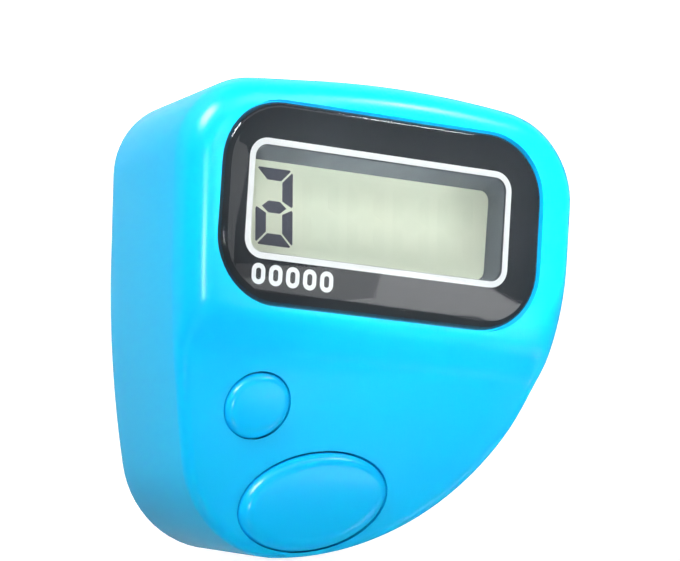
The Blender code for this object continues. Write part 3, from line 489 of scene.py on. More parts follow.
@dataclass(frozen=True)
class Clear(Finish):
    """Clear plastic or glass that lets the lamps' light through to what lies behind."""

    clearness: float = 1.0

    def dress(self, sheet: MaterialSheet) -> None:
        """Make the shader clear, and pass shadow and diffuse rays through it.

        Args:
            sheet: The material's sheet.
        """
        super().dress(sheet)
        sheet.fill(sheet.shader, Transmission_Weight=self.clearness)
        rays = sheet.add("ShaderNodeLightPath").outputs
        passing = sheet.calc("MAXIMUM", rays["Is Shadow Ray"], rays["Is Diffuse Ray"])
        sheet.open_up(passing, (*self.colour, 1.0))


CYAN = Finish("cyan_moulding", (0.004, 0.535, 0.950), (0.004, 0.515, 0.930), (0.20, 0.26),
              patch=9.0, grain=0.5, relief=0.0010, ior=1.43, bleed=0.35,
              slot="cyan_plastic")
CYAN_KEY = Finish("cyan_button_moulding", (0.004, 0.520, 0.950), (0.004, 0.500, 0.930),
                  (0.20, 0.26), patch=5.0, grain=0.5, relief=0.0008, ior=1.43,
                  bleed=0.35, slot="cyan_plastic")
LENS = Clear("lens_moulding", (0.97, 0.98, 0.98), (0.95, 0.96, 0.97), (0.01, 0.04), patch=4.0,
             grain=2.5, relief=0.0004, marks=0.05, ior=1.49, slot="lens_acrylic")
BLACK_INK = Finish("black_ink", (0.013, 0.0155, 0.017), (0.016, 0.018, 0.021), (0.5, 0.6),
                   patch=2.0, grain=0.12, relief=0.001, gloss=0.05)
WHITE_INK = Finish("white_ink", (0.88, 0.90, 0.90), (0.82, 0.84, 0.84), (0.4, 0.55),
                   patch=1.5, grain=0.10, relief=0.001, gloss=0.2)
DARK_PLASTIC = Finish("dark_moulding", (0.080, 0.092, 0.106), (0.064, 0.074, 0.088), (0.4, 0.55),
                      patch=3.0, grain=0.2, relief=0.003, slot="dark_plastic")
LCD_FILM = Finish("lcd_film_matt", (0.880, 0.915, 0.730), (0.830, 0.920, 0.735), (0.32, 0.4),
                  patch=7.0, grain=0.06, relief=0.0006, slot="lcd_film")
LCD_ON = Finish("lcd_segment_dark", (0.030, 0.032, 0.046), (0.046, 0.050, 0.064), (0.35, 0.45),
                patch=1.2, grain=0.08, relief=0.0005)
LCD_OFF = Finish("lcd_segment_faint", (0.860, 0.900, 0.715), (0.810, 0.900, 0.715), (0.32, 0.4),
                 patch=7.0, grain=0.06, relief=0.0006)
GLASS = Clear("lcd_glass_sheet", (0.93, 0.96, 0.93), (0.90, 0.94, 0.91), (0.01, 0.03), patch=5.0,
              grain=1.5, relief=0.0003, ior=1.52, slot="lcd_glass")
REFLECTOR = DrawnMetal("reflector_sheet", (0.74, 0.76, 0.68), (0.66, 0.68, 0.60), (0.3, 0.45),
                       metallic=0.6, slot="reflector_film")
FOAM = Flecked("pad_foam", (0.055, 0.055, 0.058), (0.012, 0.012, 0.013), (0.85, 0.95), grain=0.22,
               relief=0.08, slot="foam")
MASK_GREEN = Flecked("solder_mask", (0.030, 0.210, 0.070), (0.022, 0.150, 0.055), (0.28, 0.42),
                     grain=0.5, relief=0.004, coat=0.2, slot="board_green")
RESIN = Finish("black_resin", (0.015, 0.015, 0.016), (0.030, 0.030, 0.032), (0.22, 0.38),
               patch=1.2, grain=0.25, relief=0.01, slot="epoxy_black")
CERAMIC = Flecked("fired_ceramic", (0.48, 0.33, 0.19), (0.36, 0.24, 0.13), (0.45, 0.6),
                  grain=0.1, relief=0.003, slot="ceramic_tan")
SILICONE = Finish("mat_silicone", (0.66, 0.69, 0.69), (0.58, 0.61, 0.62), (0.45, 0.6), patch=3.0,
                  grain=0.12, relief=0.004, slot="silicone")
CELL = DrawnMetal("cell_nickel", (0.72, 0.71, 0.68), (0.60, 0.59, 0.56), (0.22, 0.36),
                  slot="cell_steel")
SPRING = DrawnMetal("contact_plating", (0.76, 0.73, 0.64), (0.62, 0.58, 0.48), (0.25, 0.4),
                    slot="contact_steel")
ZINC = DrawnMetal("zinc_plating", (0.60, 0.60, 0.61), (0.42, 0.42, 0.43), (0.28, 0.45),
                  slot="screw_steel")
STRAP_SKIN = Finish("strap_soft_plastic", (0.010, 0.470, 0.860), (0.010, 0.420, 0.790),
                    (0.42, 0.55), patch=5.0, grain=0.22, relief=0.008, marks=0.1,
                    slot="strap_rubber")


def add_object(name: str, data: ID) -> Object:
    """Make an object of some data and link it to the scene.

    Args:
        name: The object's name.
        data: Its mesh, light or camera.

    Returns:
        The object.
    """
    made = bpy.data.objects.new(name, data)
    bpy.context.scene.collection.objects.link(made)
    return made


def rounded_outline(centre: Point, size: Point, radius: float, steps: int = 8) -> list[Point]:
    """Outline of a rectangle with rounded corners.

    Args:
        centre: Its middle.
        size: Its width and height.
        radius: Of its corners.
        steps: Sides of each corner's arc.

    Returns:
        The points, anticlockwise.
    """
    w, h = size[0] / 2 - radius, size[1] / 2 - radius
    found = []
    for k, (sx, sy) in enumerate(((1, 1), (-1, 1), (-1, -1), (1, -1))):
        for i in range(steps + 1):
            angle = math.pi / 2 * (k + i / steps)
            found.append((centre[0] + sx * w + radius * math.cos(angle),
                          centre[1] + sy * h + radius * math.sin(angle)))
    return found


class Shape:
    """A mesh in the making, for the prints and the details."""

    def __init__(self) -> None:
        """Start with no points."""
        self.mesh = bmesh.new()

    def ring(self, points: Iterable[Spot]) -> Ring:
        """Add points, and give them as a ring."""
        return [self.mesh.verts.new(point) for point in points]

    def skin(self, rings: list[Ring], closed: bool = True) -> None:
        """Join rings with faces, one after the other.

        Args:
            rings: The rings, each with as many points.
            closed: Whether the first and the last are closed with a face.
        """
        for lower, upper in zip(rings, rings[1:]):
            for i in range(len(lower)):
                j = (i + 1) % len(lower)
                self.mesh.faces.new((lower[i], lower[j], upper[j], upper[i]))
        if closed:
            self.mesh.faces.new(rings[0][::-1])
            self.mesh.faces.new(rings[-1])

    def plate(self, outline: list[Point], low: float, thick: float) -> None:
        """Add a flat plate, whose underside is at the height low."""
        self.skin([self.ring((x, y, z) for x, y in outline) for z in (low, low + thick)])

    def hoop(self, outer: list[Point], inner: list[Point], low: float, thick: float) -> None:
        """Add a flat ring.

        Args:
            outer: Its outer outline.
            inner: Its inner outline, with as many points.
            low: Height of its underside.
            thick: Its thickness.
        """
        top = low + thick
        rings = [self.ring((x, y, z) for x, y in outline) for outline, z in
                 ((outer, low), (outer, top), (inner, top), (inner, low))]
        self.skin(rings + rings[:1], closed=False)

    def to_mesh(self, name: str, outward: bool = True) -> Mesh:
        """Turn the shape into a mesh, and free it.

        Args:
            name: The mesh's name.
            outward: Whether its faces are first turned outward.

        Returns:
            The mesh.
        """
        if outward:
            bmesh.ops.recalc_face_normals(self.mesh, faces=self.mesh.faces)
        made = bpy.data.meshes.new(name)
        self.mesh.to_mesh(made)
        self.mesh.free()
        return made

    def carve(self, made: Object) -> None:
        """Cut the shape out of a piece for good, and free it.

        Args:
            made: The piece.
        """
        mesh = self.to_mesh("cutter")
        cutter = add_object("cutter", mesh)
        step = made.modifiers.new("recess", "BOOLEAN")
        step.operation = "DIFFERENCE"
        step.solver = "EXACT"
        step.object = cutter
        graph = bpy.context.evaluated_depsgraph_get()
        carved = bpy.data.meshes.new_from_object(made.evaluated_get(graph), depsgraph=graph)
        made.modifiers.clear()
        made.data = carved
        carved.set_sharp_from_angle(angle=SMOOTH_ANGLE)
        bpy.data.objects.remove(cutter)
        bpy.data.meshes.remove(mesh)

    def place(self, name: str, finish: Finish, body: Body = Body.CASE) -> Object:
        """Turn the shape into a piece that rides on a body, and free it.

        Args:
            name: The piece's name.
            finish: Its finish.
            body: The body that it moves with.

        Returns:
            The new object.
        """
        mesh = self.to_mesh(name)
        mesh.materials.append(finish.material())
        mesh.shade_smooth()
        mesh.set_sharp_from_angle(angle=SMOOTH_ANGLE)
        made = add_object(name, mesh)
        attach(made, body.value)
        log.info("piece %s: %d faces, rides on %s", name, len(mesh.polygons), body.value)
        return made


class Dresser:
    """Gives the frame's own nodes their finish and smooth shading."""

    def __init__(self) -> None:
        """Make the shared smoothing modifier tree."""
        self.tree = self.smoothing()

    def smoothing(self) -> NodeTree:
        """Node tree that joins equal points and shades faces smooth below an angle.

        Returns:
            The geometry node tree.
        """
        tree = bpy.data.node_groups.new("soft_shading", "GeometryNodeTree")
        for side in ("INPUT", "OUTPUT"):
            tree.interface.new_socket(name="Geometry", in_out=side,
                                      socket_type="NodeSocketGeometry")
        sheet = NodeSheet(tree)
        given = sheet.add("NodeGroupInput")
        joined = sheet.add("GeometryNodeMergeByDistance", Geometry=given.outputs[0],
                           Distance=WELD)
        round_all = sheet.add("GeometryNodeSetShadeSmooth", {"domain": "FACE"},
                              Geometry=joined.outputs[0], Shade_Smooth=True)
        angle = sheet.add("GeometryNodeInputMeshEdgeAngle")
        crisp = sheet.add("FunctionNodeCompare", {"operation": "GREATER_THAN"})
        sheet.fill(crisp, {0: angle.outputs[0], 1: SMOOTH_ANGLE})
        edges = sheet.add("GeometryNodeSetShadeSmooth", {"domain": "EDGE"},
                          Geometry=round_all.outputs[0], Selection=crisp.outputs[0],
                          Shade_Smooth=False)
        out = sheet.add("NodeGroupOutput")
        sheet.fill(out, {0: edges.outputs[0]})
        return tree

    def dress(self, finish: Finish, *names: str) -> None:
        """Give nodes a finish.

        Args:
            finish: The finish.
            *names: The nodes' names.
        """
        for name in names:
            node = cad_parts[name]
            node.data.materials.clear()
            node.data.materials.append(finish.material())
            step = node.modifiers.new("soft shading", "NODES")
            step.node_group = self.tree
            log.info("node %s: %s", name, finish.name)


Looks = tuple[tuple[Finish, tuple[str, ...]], ...]


@dataclass
class Assembly:
    """A sub-assembly: its nodes' finishes, and the pieces that it adds."""

    looks: Looks = ()

    def build(self, dresser: Dresser) -> None:
        """Dress the nodes and add the pieces.

        Args:
            dresser: Gives nodes their finish.
        """
        for finish, names in self.looks:
            dresser.dress(finish, *names)
        self.add_pieces()

    def add_pieces(self) -> None:
        """Add the pieces, where the sub-assembly has any."""


@dataclass
class CaseShells(Assembly):
    """The moulded halves of the case and the two buttons."""

    looks: Looks = ((CYAN, ("front_shell", "back_cover")),
                    (CYAN_KEY, ("count_button", "reset_button")))


@dataclass
class DisplayCover(Assembly):
    """The clear lens with the prints on its back: dark border, light line and zeros.

    A print is as thick as ink says and lies just inside the lens's back, the light ones above the
    dark one.
    """

    looks: Looks = ((LENS, ("display_lens",)),)
    border_inset: float = 0.12 * MM
    border_start: float = 0.10 * MM    # outside the line's inner edge
    line_size: Point = (23.8 * MM, 9.4 * MM)
    line_width: float = 0.50 * MM
    line_radius: float = 1.55 * MM
    window_centre: Point = (-0.63 * MM, 8.46 * MM)
    lens_radius: float = 5.2 * MM
    ink: float = 0.008 * MM
    zeros_low_left: Point = (-11.74 * MM, 1.76 * MM)
    zero_size: Point = (1.18 * MM, 1.64 * MM)
    zero_line: float = 0.37 * MM
    zero_pitch: float = 1.5 * MM
    zero_count: int = 5
    zero_round: float = 0.48           # corner radius, of the zero's width
    zero_steps: int = 6
    dark_level: float = field(init=False)
    light_level: float = field(init=False)

    def __post_init__(self) -> None:
        """Set the prints' levels over the lens's back."""
        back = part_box("display_lens")[0].z
        self.dark_level = back + self.ink
        self.light_level = back + 3 * self.ink

    def add_pieces(self) -> None:
        """Add the three prints."""
        self.border()
        self.line()
        self.zeros()

    def hole(self, grow: float) -> list[Point]:
        """Outline of the clear part of the print, grown all round."""
        size = [s - 2 * self.line_width + 2 * grow for s in self.line_size]
        return rounded_outline(self.window_centre, size, self.line_radius - self.line_width + grow)

    def border(self) -> None:
        """Dark print from the lens's rim to the window."""
        low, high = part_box("display_lens")
        centre = ((low.x + high.x) / 2, (low.y + high.y) / 2)
        size = (high.x - low.x - 2 * self.border_inset, high.y - low.y - 2 * self.border_inset)
        shape = Shape()
        outer = rounded_outline(centre, size, self.lens_radius - self.border_inset)
        shape.hoop(outer, self.hole(self.border_start), self.dark_level, self.ink)
        shape.place("lens_border_print", BLACK_INK)

    def line(self) -> None:
        """Light line round the window."""
        shape = Shape()
        outer = rounded_outline(self.window_centre, self.line_size, self.line_radius)
        shape.hoop(outer, self.hole(0.0), self.light_level, self.ink)
        shape.place("window_line_print", WHITE_INK)

    def zeros(self) -> None:
        """Plain zeros in the light ink, below the window."""
        shape = Shape()
        width, height = self.zero_size
        inner = (width - 2 * self.zero_line, height - 2 * self.zero_line)
        for i in range(self.zero_count):
            middle = (self.zeros_low_left[0] + width / 2 + i * self.zero_pitch,
                      self.zeros_low_left[1] + height / 2)
            outlines = [rounded_outline(middle, size, size[0] * self.zero_round, self.zero_steps)
                        for size in (self.zero_size, inner)]
            shape.hoop(*outlines, self.light_level, self.ink)
        shape.place("plain_zeros_print", WHITE_INK)


@dataclass
class LiquidCrystal(Assembly):
    """The display stack and its five digits, of which the left one is lit."""

    looks: Looks = ((LCD_FILM, ("lcd_polariser",)), (GLASS, ("lcd_front_glass", "lcd_rear_glass")),
                    (REFLECTOR, ("lcd_reflector",)), (DARK_PLASTIC, ("display_frame",)))
    digit_low_left: Point = (-10.2 * MM, 5.27 * MM)
    digit_size: Point = (3.27 * MM, 5.98 * MM)
    pitch: float = 4.1 * MM
    lean: float = -0.061
    count: int = 5
    bar: float = 0.92 * MM
    gap: float = 0.11 * MM     # between two bars
    nick: float = 0.09 * MM    # cut off a bar's outer corners
    tip: float = 0.6           # from the digit's side to the middle bar's point, in bar widths
    ink: float = 0.008 * MM
    lift: float = 0.002 * MM   # of the segments over the polariser
    lit: tuple[Segment, ...] = (Segment.TOP, Segment.UPPER_RIGHT, Segment.MIDDLE,
                                Segment.LOWER_LEFT, Segment.LOWER_RIGHT, Segment.BOTTOM)

    def add_pieces(self) -> None:
        """Add every digit's segments, the lit ones as one piece and the rest as another."""
        lit, faint = Shape(), Shape()
        for place in range(self.count):
            for segment in Segment:
                on = place == 0 and segment in self.lit
                self.segment(lit if on else faint, place, segment)
        lit.place("lcd_lit_segments", LCD_ON)
        faint.place("lcd_faint_segments", LCD_OFF)

    def outline(self, segment: Segment) -> list[Point]:
        """Outline of one bar in the digit's own frame, whose low left corner is the origin.

        Args:
            segment: Which bar.

        Returns:
            The points, before the digit's lean.
        """
        width, height = self.digit_size
        bar, gap, nick = self.bar, self.gap, self.nick
        form, flip_x, flip_y = segment.value
        if form is Form.LEVEL:
            ends = [(gap + 2 * nick, 0.0), (gap + nick, nick), (gap + bar, bar)]
            points = ends + [(width - x, y) for x, y in ends[::-1]]
        elif form is Form.UPRIGHT:
            middle = (height - gap) / 2
            points = [(0.0, gap + 2 * nick), (nick, gap + nick), (bar, gap + bar),
                      (bar, middle - bar / 2), (nick, middle - nick / 2), (0.0, middle - 2 * nick)]
        else:
            shoulder, tip = bar + 2 * gap, self.tip * bar
            half = [(shoulder, (height - bar) / 2), (tip, height / 2),
                    (shoulder, (height + bar) / 2)]
            points = half + [(width - x, y) for x, y in half[::-1]]
        points = [(width - x if flip_x else x, height - y if flip_y else y) for x, y in points]
        return points[::-1] if flip_x != flip_y else points

    def segment(self, shape: Shape, place: int, segment: Segment) -> None:
        """Add one bar of a digit.

        Args:
            shape: The shape that takes it.
            place: The digit, counted from the left.
            segment: Which bar.
        """
        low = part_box("lcd_polariser")[1].z + self.lift
        left = self.digit_low_left[0] + place * self.pitch
        points = [(left + x + self.lean * y, self.digit_low_left[1] + y)
                  for x, y in self.outline(segment)]
        shape.plate(points, low, self.ink)


@dataclass
class Electronics(Assembly):
    """Circuit board with its chip and small parts."""

    looks: Looks = ((MASK_GREEN, ("circuit_board",)), (RESIN, ("driver_chip",)),
                    (CERAMIC, ("chip_capacitor", "chip_resistor")))


@dataclass
class Power(Assembly):
    """Button cell, its ring and the two contacts."""

    looks: Looks = ((CELL, ("battery_cell",)), (DARK_PLASTIC, ("battery_holder",)),
                    (SPRING, ("battery_negative_contact", "battery_positive_contact")))


@dataclass
class Screws(Assembly):
    """Thread-forming screws with a cross recess, in place of the frame's plain ones.

    case_size and board_size are the radius of the shank and the height of the head. The other
    sizes are shares of these two and of the box of the node that the screw stands for.
    """

    case_size: Point = (0.8 * MM, 1.0 * MM)
    board_size: Point = (0.55 * MM, 0.7 * MM)
    case_screws: tuple[str, ...] = ("case_screw_left", "case_screw_right")
    board_screws: tuple[str, ...] = ("board_screw_top", "board_screw_side", "board_screw_middle")
    sides: int = 28
    rows_per_turn: int = 6
    pitch_share: float = 0.75    # of the shank's radius
    core_share: float = 0.72     # of the shank's radius
    ridge_share: float = 0.5     # of the pitch, at the ridge's foot
    point_share: float = 0.4     # of the shank's radius, at its end
    lead_share: float = 0.5      # of the pitch, plain above the seat
    head_rows: int = 7
    head_dome: float = 0.55      # of the head's height, above its rounded edge
    rim_height: float = 0.1
    rim_taper: float = 0.97      # of the head's radius, at its seat
    recess_reach: float = 0.62   # of the head's radius
    recess_width: float = 0.24
    recess_depth: float = 0.62   # of the head's height
    recess_start: float = 0.1    # of the head's height, outside it
    recess_taper: float = 0.55

    def add_pieces(self) -> None:
        """Make every screw with its thread and its recess."""
        sizes = dict.fromkeys(self.case_screws, self.case_size)
        sizes.update(dict.fromkeys(self.board_screws, self.board_size))
        for node, (shank, head_height) in sizes.items():
            low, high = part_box(node)
            screw = self.turned(low, high, shank, head_height)
            made = screw.place(node + "_threaded", ZINC)
            self.cut_recess(made, low, high, head_height)
            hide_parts(node)

    def radius_at(self, rise: float, angle: float, length: float, shank: float) -> float:
        """Radius of the threaded shank.

        Args:
            rise: Height above the head's seat.
            angle: Round the axis.
            length: Of the shank.
            shank: Radius over the thread.

        Returns:
            The radius, which follows the helix and narrows to the point.
        """
        pitch = self.pitch_share * shank
        turn = (rise / pitch - angle / math.tau) % 1.0
        ridge = max(0.0, 1.0 - abs(turn - 0.5) / (self.ridge_share / 2))
        point = self.point_share + (1 - self.point_share) * (length - rise) / shank
        start = min(1.0, max(0.0, rise / pitch - self.lead_share))
        thread = (1 - self.core_share) * ridge * start
        return shank * min(1.0, point) * (self.core_share + thread)

    def turned(self, low: Vector, high: Vector, shank: float, head_height: float) -> Shape:
        """Make the head and the threaded shank as one skin.

        Args:
            low: Lowest corner of the screw's box.
            high: Highest corner.
            shank: Radius over the thread.
            head_height: Of the rounded head, which points down.

        Returns:
            The screw's shape.
        """
        x, y = (low.x + high.x) / 2, (low.y + high.y) / 2
        head = (high.x - low.x) / 2
        seat = low.z + head_height
        profile = []
        for row in range(1, self.head_rows + 1):
            angle = row * math.pi / (2 * self.head_rows)
            rise = 1 - self.head_dome + self.head_dome * math.cos(angle)
            profile.append((head * math.sin(angle), seat - head_height * rise))
        profile += [(head, seat - self.rim_height * head_height), (head * self.rim_taper, seat)]
        length = high.z - seat
        rows = math.ceil(length / (self.pitch_share * shank / self.rows_per_turn))
        angles = [math.tau * k / self.sides for k in range(self.sides)]
        shape = Shape()
        rings = [shape.ring((x + r * math.cos(a), y + r * math.sin(a), z) for a in angles)
                 for r, z in profile]
        for rise in (length * i / rows for i in range(rows + 1)):
            radii = [self.radius_at(rise, a, length, shank) for a in angles]
            rings.append(shape.ring((x + r * math.cos(a), y + r * math.sin(a), seat + rise)
                                    for r, a in zip(radii, angles)))
        shape.skin(rings)
        return shape

    def cut_recess(self, made: Object, low: Vector, high: Vector, head_height: float) -> None:
        """Sink a tapered cross into the head.

        Args:
            made: The screw.
            low: Lowest corner of its box.
            high: Highest corner.
            head_height: Of its head.
        """
        centre = Vector(((low.x + high.x) / 2, (low.y + high.y) / 2))
        head = (high.x - low.x) / 2
        reach, width = self.recess_reach * head, self.recess_width * head / 2
        cross = [(reach, width), (width, width), (width, reach)]
        outline = []
        for quarter in range(4):
            turn = Matrix.Rotation(math.pi / 2 * quarter, 2)
            outline += [turn @ Vector(point) for point in cross]
        levels = ((1.0, low.z - head_height * self.recess_start),
                  (self.recess_taper, low.z + head_height * self.recess_depth))
        shape = Shape()
        shape.skin([shape.ring((*(centre + point * scale), level) for point in outline)
                    for scale, level in levels])
        shape.carve(made)


@dataclass(frozen=True)
class SoftForm:
    """How one soft part is made from its solid.

    Edge is the radius of its rounded edges. A dome also names the joint that presses it and how
    far that joint goes.
    """

    finish: Finish
    edge: float
    body: Body = Body.CASE
    joint: str = ""
    travel: float = 0.0


@dataclass
class SoftParts(Assembly):
    """Strap, rubber, silicone and foam parts with rounded edges, in place of the frame's."""

    looks: Looks = ((ZINC, ("strap_pin",)),)
    forms: dict[str, SoftForm] = field(default_factory=lambda: {
        "strap": SoftForm(STRAP_SKIN, 0.20 * MM, Body.STRAP),
        "keypad_mat": SoftForm(SILICONE, 0.10 * MM),
        "count_dome": SoftForm(SILICONE, 0.12 * MM, joint="count_press", travel=1.1 * MM),
        "reset_dome": SoftForm(SILICONE, 0.10 * MM, joint="reset_press", travel=0.8 * MM),
        "zebra_strip": SoftForm(SILICONE, 0.10 * MM),
        "display_pad": SoftForm(FOAM, 0.12 * MM)})
    edge_steps: int = 3
    flat_angle: float = math.radians(1.0)

    def add_pieces(self) -> None:
        """Make every soft part."""
        for node, form in self.forms.items():
            shape = self.rounded(node, form.edge)
            made = shape.place(node + "_moulded", form.finish, form.body)
            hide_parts(node)
            if form.joint:
                self.give_way(made, node, form)

    def rounded(self, node: str, edge: float) -> Shape:
        """Copy a solid and round its edges inwards.

        Args:
            node: The solid's name.
            edge: Radius of the edges.

        Returns:
            The rounded shape.
        """
        shape = Shape()
        mesh = shape.mesh
        mesh.from_mesh(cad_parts[node].data)
        bmesh.ops.remove_doubles(mesh, verts=mesh.verts, dist=WELD)
        bmesh.ops.dissolve_limit(mesh, angle_limit=self.flat_angle, verts=mesh.verts,
                                 edges=mesh.edges)
        sharp = [e for e in mesh.edges
                 if len(e.link_faces) == 2 and e.calc_face_angle(0.0) > SMOOTH_ANGLE]
        bmesh.ops.bevel(mesh, geom=sharp, offset=edge, offset_type="OFFSET", profile=0.5,
                        segments=self.edge_steps, affect="EDGES", clamp_overlap=True)
        return shape

    def give_way(self, made: Object, node: str, form: SoftForm) -> None:
        """Give a dome's piece its own copy of its mesh.

        Args:
            made: The dome's piece.
            node: The solid that it stands for. Not used.
            form: Its joint and travel. Not used.
        """
        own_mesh(made)


class Reach(Enum):
    """What a lamp gives to the object."""

    ALL = "light and a mirror image"
    LIGHT = "light alone, as through a polarising filter"
    CARD = "a mirror image alone, as a dim grey card does"


@dataclass(frozen=True)
class Lamp:
    """A soft rectangular lamp. Its spread is the angle, in degrees, over which it shines."""

    name: str
    place: Spot
    aim: Spot
    size: Point
    power: float
    spread: float = 180.0
    reach: Reach = Reach.ALL

    def build(self) -> None:
        """Hang the lamp and turn it to its aim."""
        light = bpy.data.lights.new(self.name, "AREA")
        light.shape = "RECTANGLE"
        light.size, light.size_y = self.size
        light.energy = self.power
        light.spread = math.radians(self.spread)
        made = add_object(self.name, light)
        made.location = self.place
        made.rotation_mode = "QUATERNION"
        away = Vector(self.aim) - Vector(self.place)
        made.rotation_quaternion = away.to_track_quat("-Z", "Y")
        made.visible_camera = False
        made.visible_glossy = self.reach is not Reach.LIGHT
        made.visible_diffuse = self.reach is not Reach.CARD


@dataclass
class Studio:
    """Pale floor, even sky, soft lamps and the grey cards that the glossy parts mirror."""

    floor_size: float = 3.0
    floor_colour: Colour = (0.60, 0.60, 0.60)
    floor_tint: float = 0.985       # of the colour, in the floor's cells
    floor_cell: float = 2.5 * MM
    floor_rough: float = 0.9
    floor_gloss: float = 0.1
    floor_glow: float = 0.75
    sky: float = 0.05
    lamps: tuple[Lamp, ...] = (
        Lamp("upper_left_softbox", (-0.20, 0.25, 0.13), (0.0, 0.0, 0.03), (0.12, 0.10), 0.985),
        Lamp("near_top_strip", (0.0, 0.085, 0.085), (0.0, -0.005, 0.03), (0.10, 0.03), 0.0093),
        Lamp("camera_lamp", (-0.21, 0.014, 0.35), (0.0, 0.0, 0.03), (0.05, 0.03), 0.235),
        Lamp("low_front_lamp", (0.216, -0.22, 0.363), (0.0, 0.0, 0.03), (0.08, 0.08), 0.09,
             reach=Reach.LIGHT),
        Lamp("top_pool", (-0.02, 0.06, 0.20), (0.0, 0.030, 0.032), (0.04, 0.04), 0.0070, 20.0,
             Reach.LIGHT),
        Lamp("high_pool", (0.03, 0.16, 0.14), (0.0, 0.030, 0.032), (0.05, 0.05), 0.0036, 26.0,
             Reach.LIGHT),
        Lamp("left_pool", (-0.08, -0.13, 0.12), (0.0, 0.012, 0.032), (0.05, 0.05), 0.0056, 24.0,
             Reach.LIGHT),
        Lamp("right_pool", (0.15, -0.08, 0.12), (0.02, 0.006, 0.030), (0.06, 0.06), 0.0104, 24.0,
             Reach.LIGHT),
        Lamp("display_pool", (0.002, 0.03, 0.25), (0.002, 0.009, 0.03), (0.022, 0.006), 0.0062,
             4.8, Reach.LIGHT),
        Lamp("step_pool", (0.012, -0.02, 0.30), (0.012, -0.003, 0.03), (0.03, 0.002), 0.0001,
             3.5, Reach.LIGHT),
        Lamp("wide_card", (0.155, -0.006, 0.33), (0.0, -0.006, 0.03), (0.026, 0.20), 0.010,
             reach=Reach.CARD),
        Lamp("middle_card", (0.178, -0.006, 0.33), (0.0, -0.006, 0.03), (0.026, 0.16), 0.0187,
             reach=Reach.CARD),
        Lamp("bright_card", (0.200, -0.006, 0.33), (0.0, -0.006, 0.03), (0.026, 0.11), 0.0189,
             reach=Reach.CARD),
        Lamp("left_card", (0.052, 0.05, 0.33), (0.0, 0.05, 0.03), (0.10, 0.045), 0.016,
             reach=Reach.CARD),
        Lamp("top_card", (0.168, 0.273, 0.17), (0.0, -0.01, 0.03), (0.03, 0.03), 0.17,
             reach=Reach.CARD),
        Lamp("under_lamp", (-0.10, 0.0, -0.12), (0.0, 0.0, 0.02), (0.15, 0.15), 0.055,
             reach=Reach.LIGHT),
    )

    def build(self) -> None:
        """Make the floor, the sky and the lamps."""
        self.floor()
        self.world()
        for lamp in self.lamps:
            lamp.build()

    def floor(self) -> None:
        """Pale floor that is clear from below, so that the underside can be seen and lit."""
        half = self.floor_size / 2
        shape = Shape()
        corners = ((-half, -half), (half, -half), (half, half), (-half, half))
        shape.mesh.faces.new(shape.ring((x, y, 0.0) for x, y in corners))
        mesh = shape.to_mesh("floor", outward=False)
        made = add_object("floor", mesh)
        sheet = MaterialSheet("pale_paper")
        mesh.materials.append(sheet.material)
        cells = GROUPS.use(sheet, Effect.FLECKS, Colour=(*self.floor_colour, 1.0),
                           Tint=(*[c * self.floor_tint for c in self.floor_colour], 1.0),
                           Scale=1.0 / self.floor_cell)
        rays = sheet.add("ShaderNodeLightPath").outputs
        seen = sheet.calc("MAXIMUM", rays["Is Camera Ray"], rays["Is Transmission Ray"])
        sheet.fill(sheet.shader, Base_Color=cells.outputs["Colour"], Roughness=self.floor_rough,
                   Specular_IOR_Level=self.floor_gloss, Emission_Color=WHITE,
                   Emission_Strength=sheet.calc("MULTIPLY", seen, self.floor_glow))
        behind = sheet.add("ShaderNodeNewGeometry").outputs["Backfacing"]
        sheet.open_up(sheet.calc("MAXIMUM", behind, rays["Is Shadow Ray"]))

    def world(self) -> None:
        """Even grey sky that the camera sees as white."""
        world = bpy.data.worlds.new("even_sky")
        bpy.context.scene.world = world
        world.use_nodes = True
        sheet = NodeSheet(world.node_tree)
        rays = sheet.add("ShaderNodeLightPath")
        level = sheet.add("ShaderNodeMapRange", Value=rays.outputs["Is Camera Ray"],
                          To_Min=self.sky, To_Max=1.0)
        sheet.fill(world.node_tree.nodes["Background"], Color=WHITE, Strength=level.outputs[0])


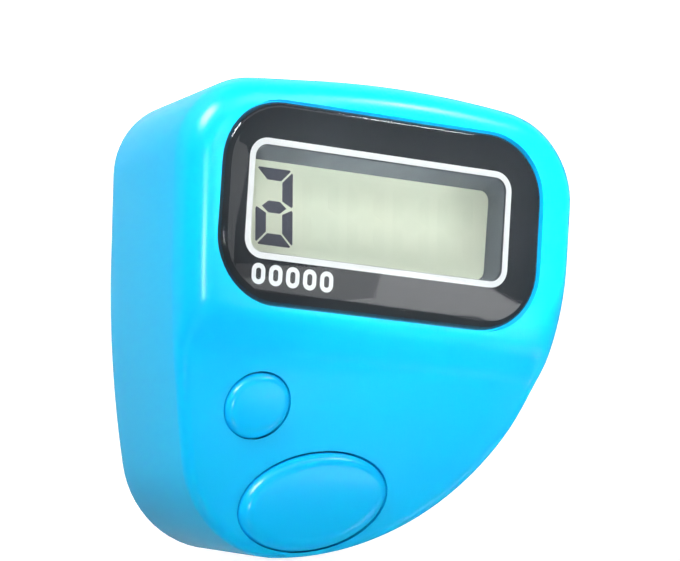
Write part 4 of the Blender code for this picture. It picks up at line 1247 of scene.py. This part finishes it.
@dataclass
class PhotoCamera:
    """The camera of the photograph: angles in degrees, lengths in metres, sensor in millimetres.

    The point middle, in the plane of the case's back, lies distance ahead of the camera, side to
    the right of its axis and rise above it.
    """

    yaw: float = 28.89
    pitch: float = 6.66
    roll: float = 3.48
    distance: float = 261.0 * MM
    side: float = -4.501 * MM
    rise: float = -4.348 * MM
    pixels_per_mm: float = 12.0
    image_width: float = 680.0
    sensor: float = 36.0
    middle: Point = (0.394 * MM, 0.105 * MM)
    case_depth: float = 17.3 * MM
    clip: Point = (0.005, 20.0)

    def build(self) -> None:
        """Make the scene's camera."""
        yaw, pitch, roll = (math.radians(a) for a in (self.yaw, self.pitch, self.roll))
        level = Vector((math.cos(yaw), 0.0, math.sin(yaw)))
        upright = Vector((-math.sin(yaw) * math.sin(pitch), math.cos(pitch),
                          math.cos(yaw) * math.sin(pitch)))
        ahead = Vector((math.sin(yaw) * math.cos(pitch), math.sin(pitch),
                        -math.cos(yaw) * math.cos(pitch)))
        right = level * math.cos(roll) + upright * math.sin(roll)
        up = upright * math.cos(roll) - level * math.sin(roll)
        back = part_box("front_shell")[1].z - self.case_depth
        centre = Vector((*self.middle, back))
        place = centre - right * self.side - up * self.rise - ahead * self.distance
        data = bpy.data.cameras.new("camera")
        data.sensor_width = self.sensor
        focal = self.pixels_per_mm * self.distance / MM
        data.lens = focal * self.sensor / self.image_width
        data.clip_start, data.clip_end = self.clip
        made = add_object("camera", data)
        turn = Matrix((right, up, -ahead)).transposed().to_4x4()
        made.matrix_world = Matrix.Translation(place) @ turn
        bpy.context.scene.camera = made


def main() -> None:
    """Build every sub-assembly's looks, the studio and the camera."""
    logging.basicConfig(level=logging.INFO, format="%(name)s: %(message)s")
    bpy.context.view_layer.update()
    bpy.context.scene.view_settings.view_transform = "Standard"
    dresser = Dresser()
    for assembly in (CaseShells(), DisplayCover(), LiquidCrystal(), Electronics(), Power(),
                     Screws(), SoftParts()):
        assembly.build(dresser)
    Studio().build()
    PhotoCamera().build()


if __name__ == "__main__":
    main()
